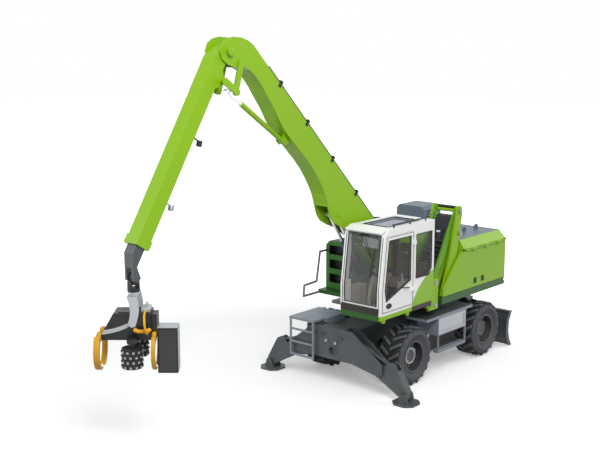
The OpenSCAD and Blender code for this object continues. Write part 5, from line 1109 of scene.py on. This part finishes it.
def addHeadTrim():
    cover = headBlock("coverPlate", *headTrim["cover"])
    ready(panelled(cover, upward, 0.02, 0.003, 0.003), "headBlack", "head")
    valve = headBlock("valveBlock", *headTrim["valve"])
    ready(panelled(valve, upward, 0.02, -0.012, 0.006), "silver", "head")
    parts, x, (low, high) = [], headTrim["fittingX"], headTrim["fittingZ"]
    for i, y in enumerate(headTrim["fittings"]):
        nut = newDrum("fitting%d" % i, headAt(x, y, low), headAt(x, y, high), headTrim["fitting"], 6)
        parts.append(panelled(nut, upward, 0.006, -0.012, 0.002))
    ready(joined(parts, "valveFittings"), "pin", "head")


addSawTrim()
addHeadTrim()
print("head details set")

# couplings and hooks on the outrigger beam
beam = {
    "face": 2.40, "couplings": [(-0.133, 0.908), (0.093, 0.891)], "coupling": 0.034,
    "hooks": [(-0.26, 1.02), (0.20, 1.01)], "hook": 0.013,
    "hookLine": [(-0.005, -0.06, 0), (0.045, -0.05, 0), (0.055, 0, 0.005), (0.045, 0.05, 0),
                 (-0.005, 0.06, 0)],
}


def addBeamFittings():
    x = beam["face"]
    for i, (y, z) in enumerate(beam["couplings"]):
        nut = newDrum("coupling.%d" % i, at(x - 0.01, y, z), at(x + 0.035, y, z), beam["coupling"], 20)
        insetFaces(nut, forward, 0.010, -0.012)
        ready(panelled(nut, capFace(1, 0, 0), 0.008, 0.010, 0.003), "pin", "chassis")
    for i, (y, z) in enumerate(beam["hooks"]):
        line = [at(x, y, z) + Vector(point) for point in beam["hookLine"]]
        ready(newTube("towHook.%d" % i, line, beam["hook"]), "slate", "chassis")


addBeamFittings()

# black panels behind the steps, painted shade where the chassis side lies in shadow
stepShade = {"low": (-0.45, 0.96, 0.45), "high": (0.48, 0.985, 0.86)}


def addStepShades():
    left = newBlock("stepShade_left", at(*stepShade["low"]), at(*stepShade["high"]))
    panelled(left, leftward, 0.03, 0.008, 0.004)
    for piece in (left, mirrorOver(left, "stepShade_right")):
        ready(piece, "black", "chassis")


addStepShades()

# lamps under the stick
lamps = {
    "pin": (5.36, 0.10, 6.531), "along": Vector((0.530, 0, -0.848)), "under": Vector((-0.848, 0, -0.530)),
    "stem": ((0.09, 0, 0.06), (-0.06, 0, -0.04), 0.014),
    "bowl": ((-0.075, 0, -0.02), (-0.045, 0, -0.115), 0.048),
    "places": [(1.55, 0.175, "rubberLine", "black"), (2.72, 0.145, "pin", "steel")],
}


def addLamps():
    for i, (reach, drop, finish, slotName) in enumerate(lamps["places"]):
        place = at(*lamps["pin"]) + lamps["along"] * reach + lamps["under"] * drop
        start, end, radius = lamps["stem"]
        stem = newDrum("lampStem", place + Vector(start), place + Vector(end), radius, 12)
        start, end, radius = lamps["bowl"]
        bowl = newDrum("lampBowl", place + Vector(start), place + Vector(end), radius, 24)
        panelled(bowl, lambda f: f.normal.z < -0.8, 0.008, 0.012, 0.006)
        lamp = joined([bowl, softEdges(stem, 0.002)], "stickLamp.%d" % i)
        ready(lamp, finish, "stick")


addLamps()

# gap line round the door
doorLine = {
    "radius": 0.006, "side": 1.251,
    "outline": [(1.505, 1.70), (2.47, 1.70), (2.47, 2.123), (2.352, 3.105), (1.505, 3.105)],
}


def addDoorLine():
    points = [at(x, doorLine["side"], z) for x, z in doorLine["outline"]]
    addSeal("doorGap", points, "cab_door", doorLine["radius"])


addDoorLine()
print("beam, lamps and door line set")

# hoses that leave and enter the same body
footLoop = [
    (1.325, 3.258), (1.290, 3.230), (1.244, 3.212), (1.188, 3.203), (1.129, 3.197), (1.069, 3.191),
    (1.014, 3.182), (0.965, 3.166), (0.928, 3.140), (0.904, 3.101), (0.891, 3.054), (0.891, 2.994),
    (0.898, 2.928), (0.913, 2.855), (0.929, 2.780),
]
hoses = {
    "headReturn": {"body": "head", "finish": "hose", "slot": "hose", "diameter": 0.036, "points": [
        (-0.235, 0.190, -0.150), (-0.235, 0.230, -0.150), (-0.235, 0.270, -0.150), (-0.234, 0.310, -0.144),
        (-0.232, 0.346, -0.128), (-0.229, 0.377, -0.104), (-0.226, 0.400, -0.073), (-0.222, 0.414, -0.037),
        (-0.218, 0.418, 0.001), (-0.214, 0.412, 0.039), (-0.210, 0.396, 0.074), (-0.206, 0.371, 0.105),
        (-0.202, 0.339, 0.130), (-0.199, 0.302, 0.148), (-0.196, 0.262, 0.160), (-0.195, 0.222, 0.166),
        (-0.195, 0.180, 0.168), (-0.195, 0.140, 0.168), (-0.195, 0.110, 0.168)]},
}
for hoseName, y in (("boomFootLeft", 0.12), ("boomFootRight", 0.07)):  # from a pipe's end back into the boom
    hoses[hoseName] = {"body": "boom", "finish": "rubberLine", "slot": "black", "diameter": 0.034,
                       "points": [(x, y, z) for x, z in footLoop]}


def addHoses():
    for name, plan in hoses.items():
        place = headAt if plan["body"] == "head" else at
        points = [place(*point) for point in plan["points"]]
        hose = newLine(name, points, plan["diameter"] / 2, "AUTO", 4)
        ready(hose, plan["finish"], plan["body"])


addHoses()
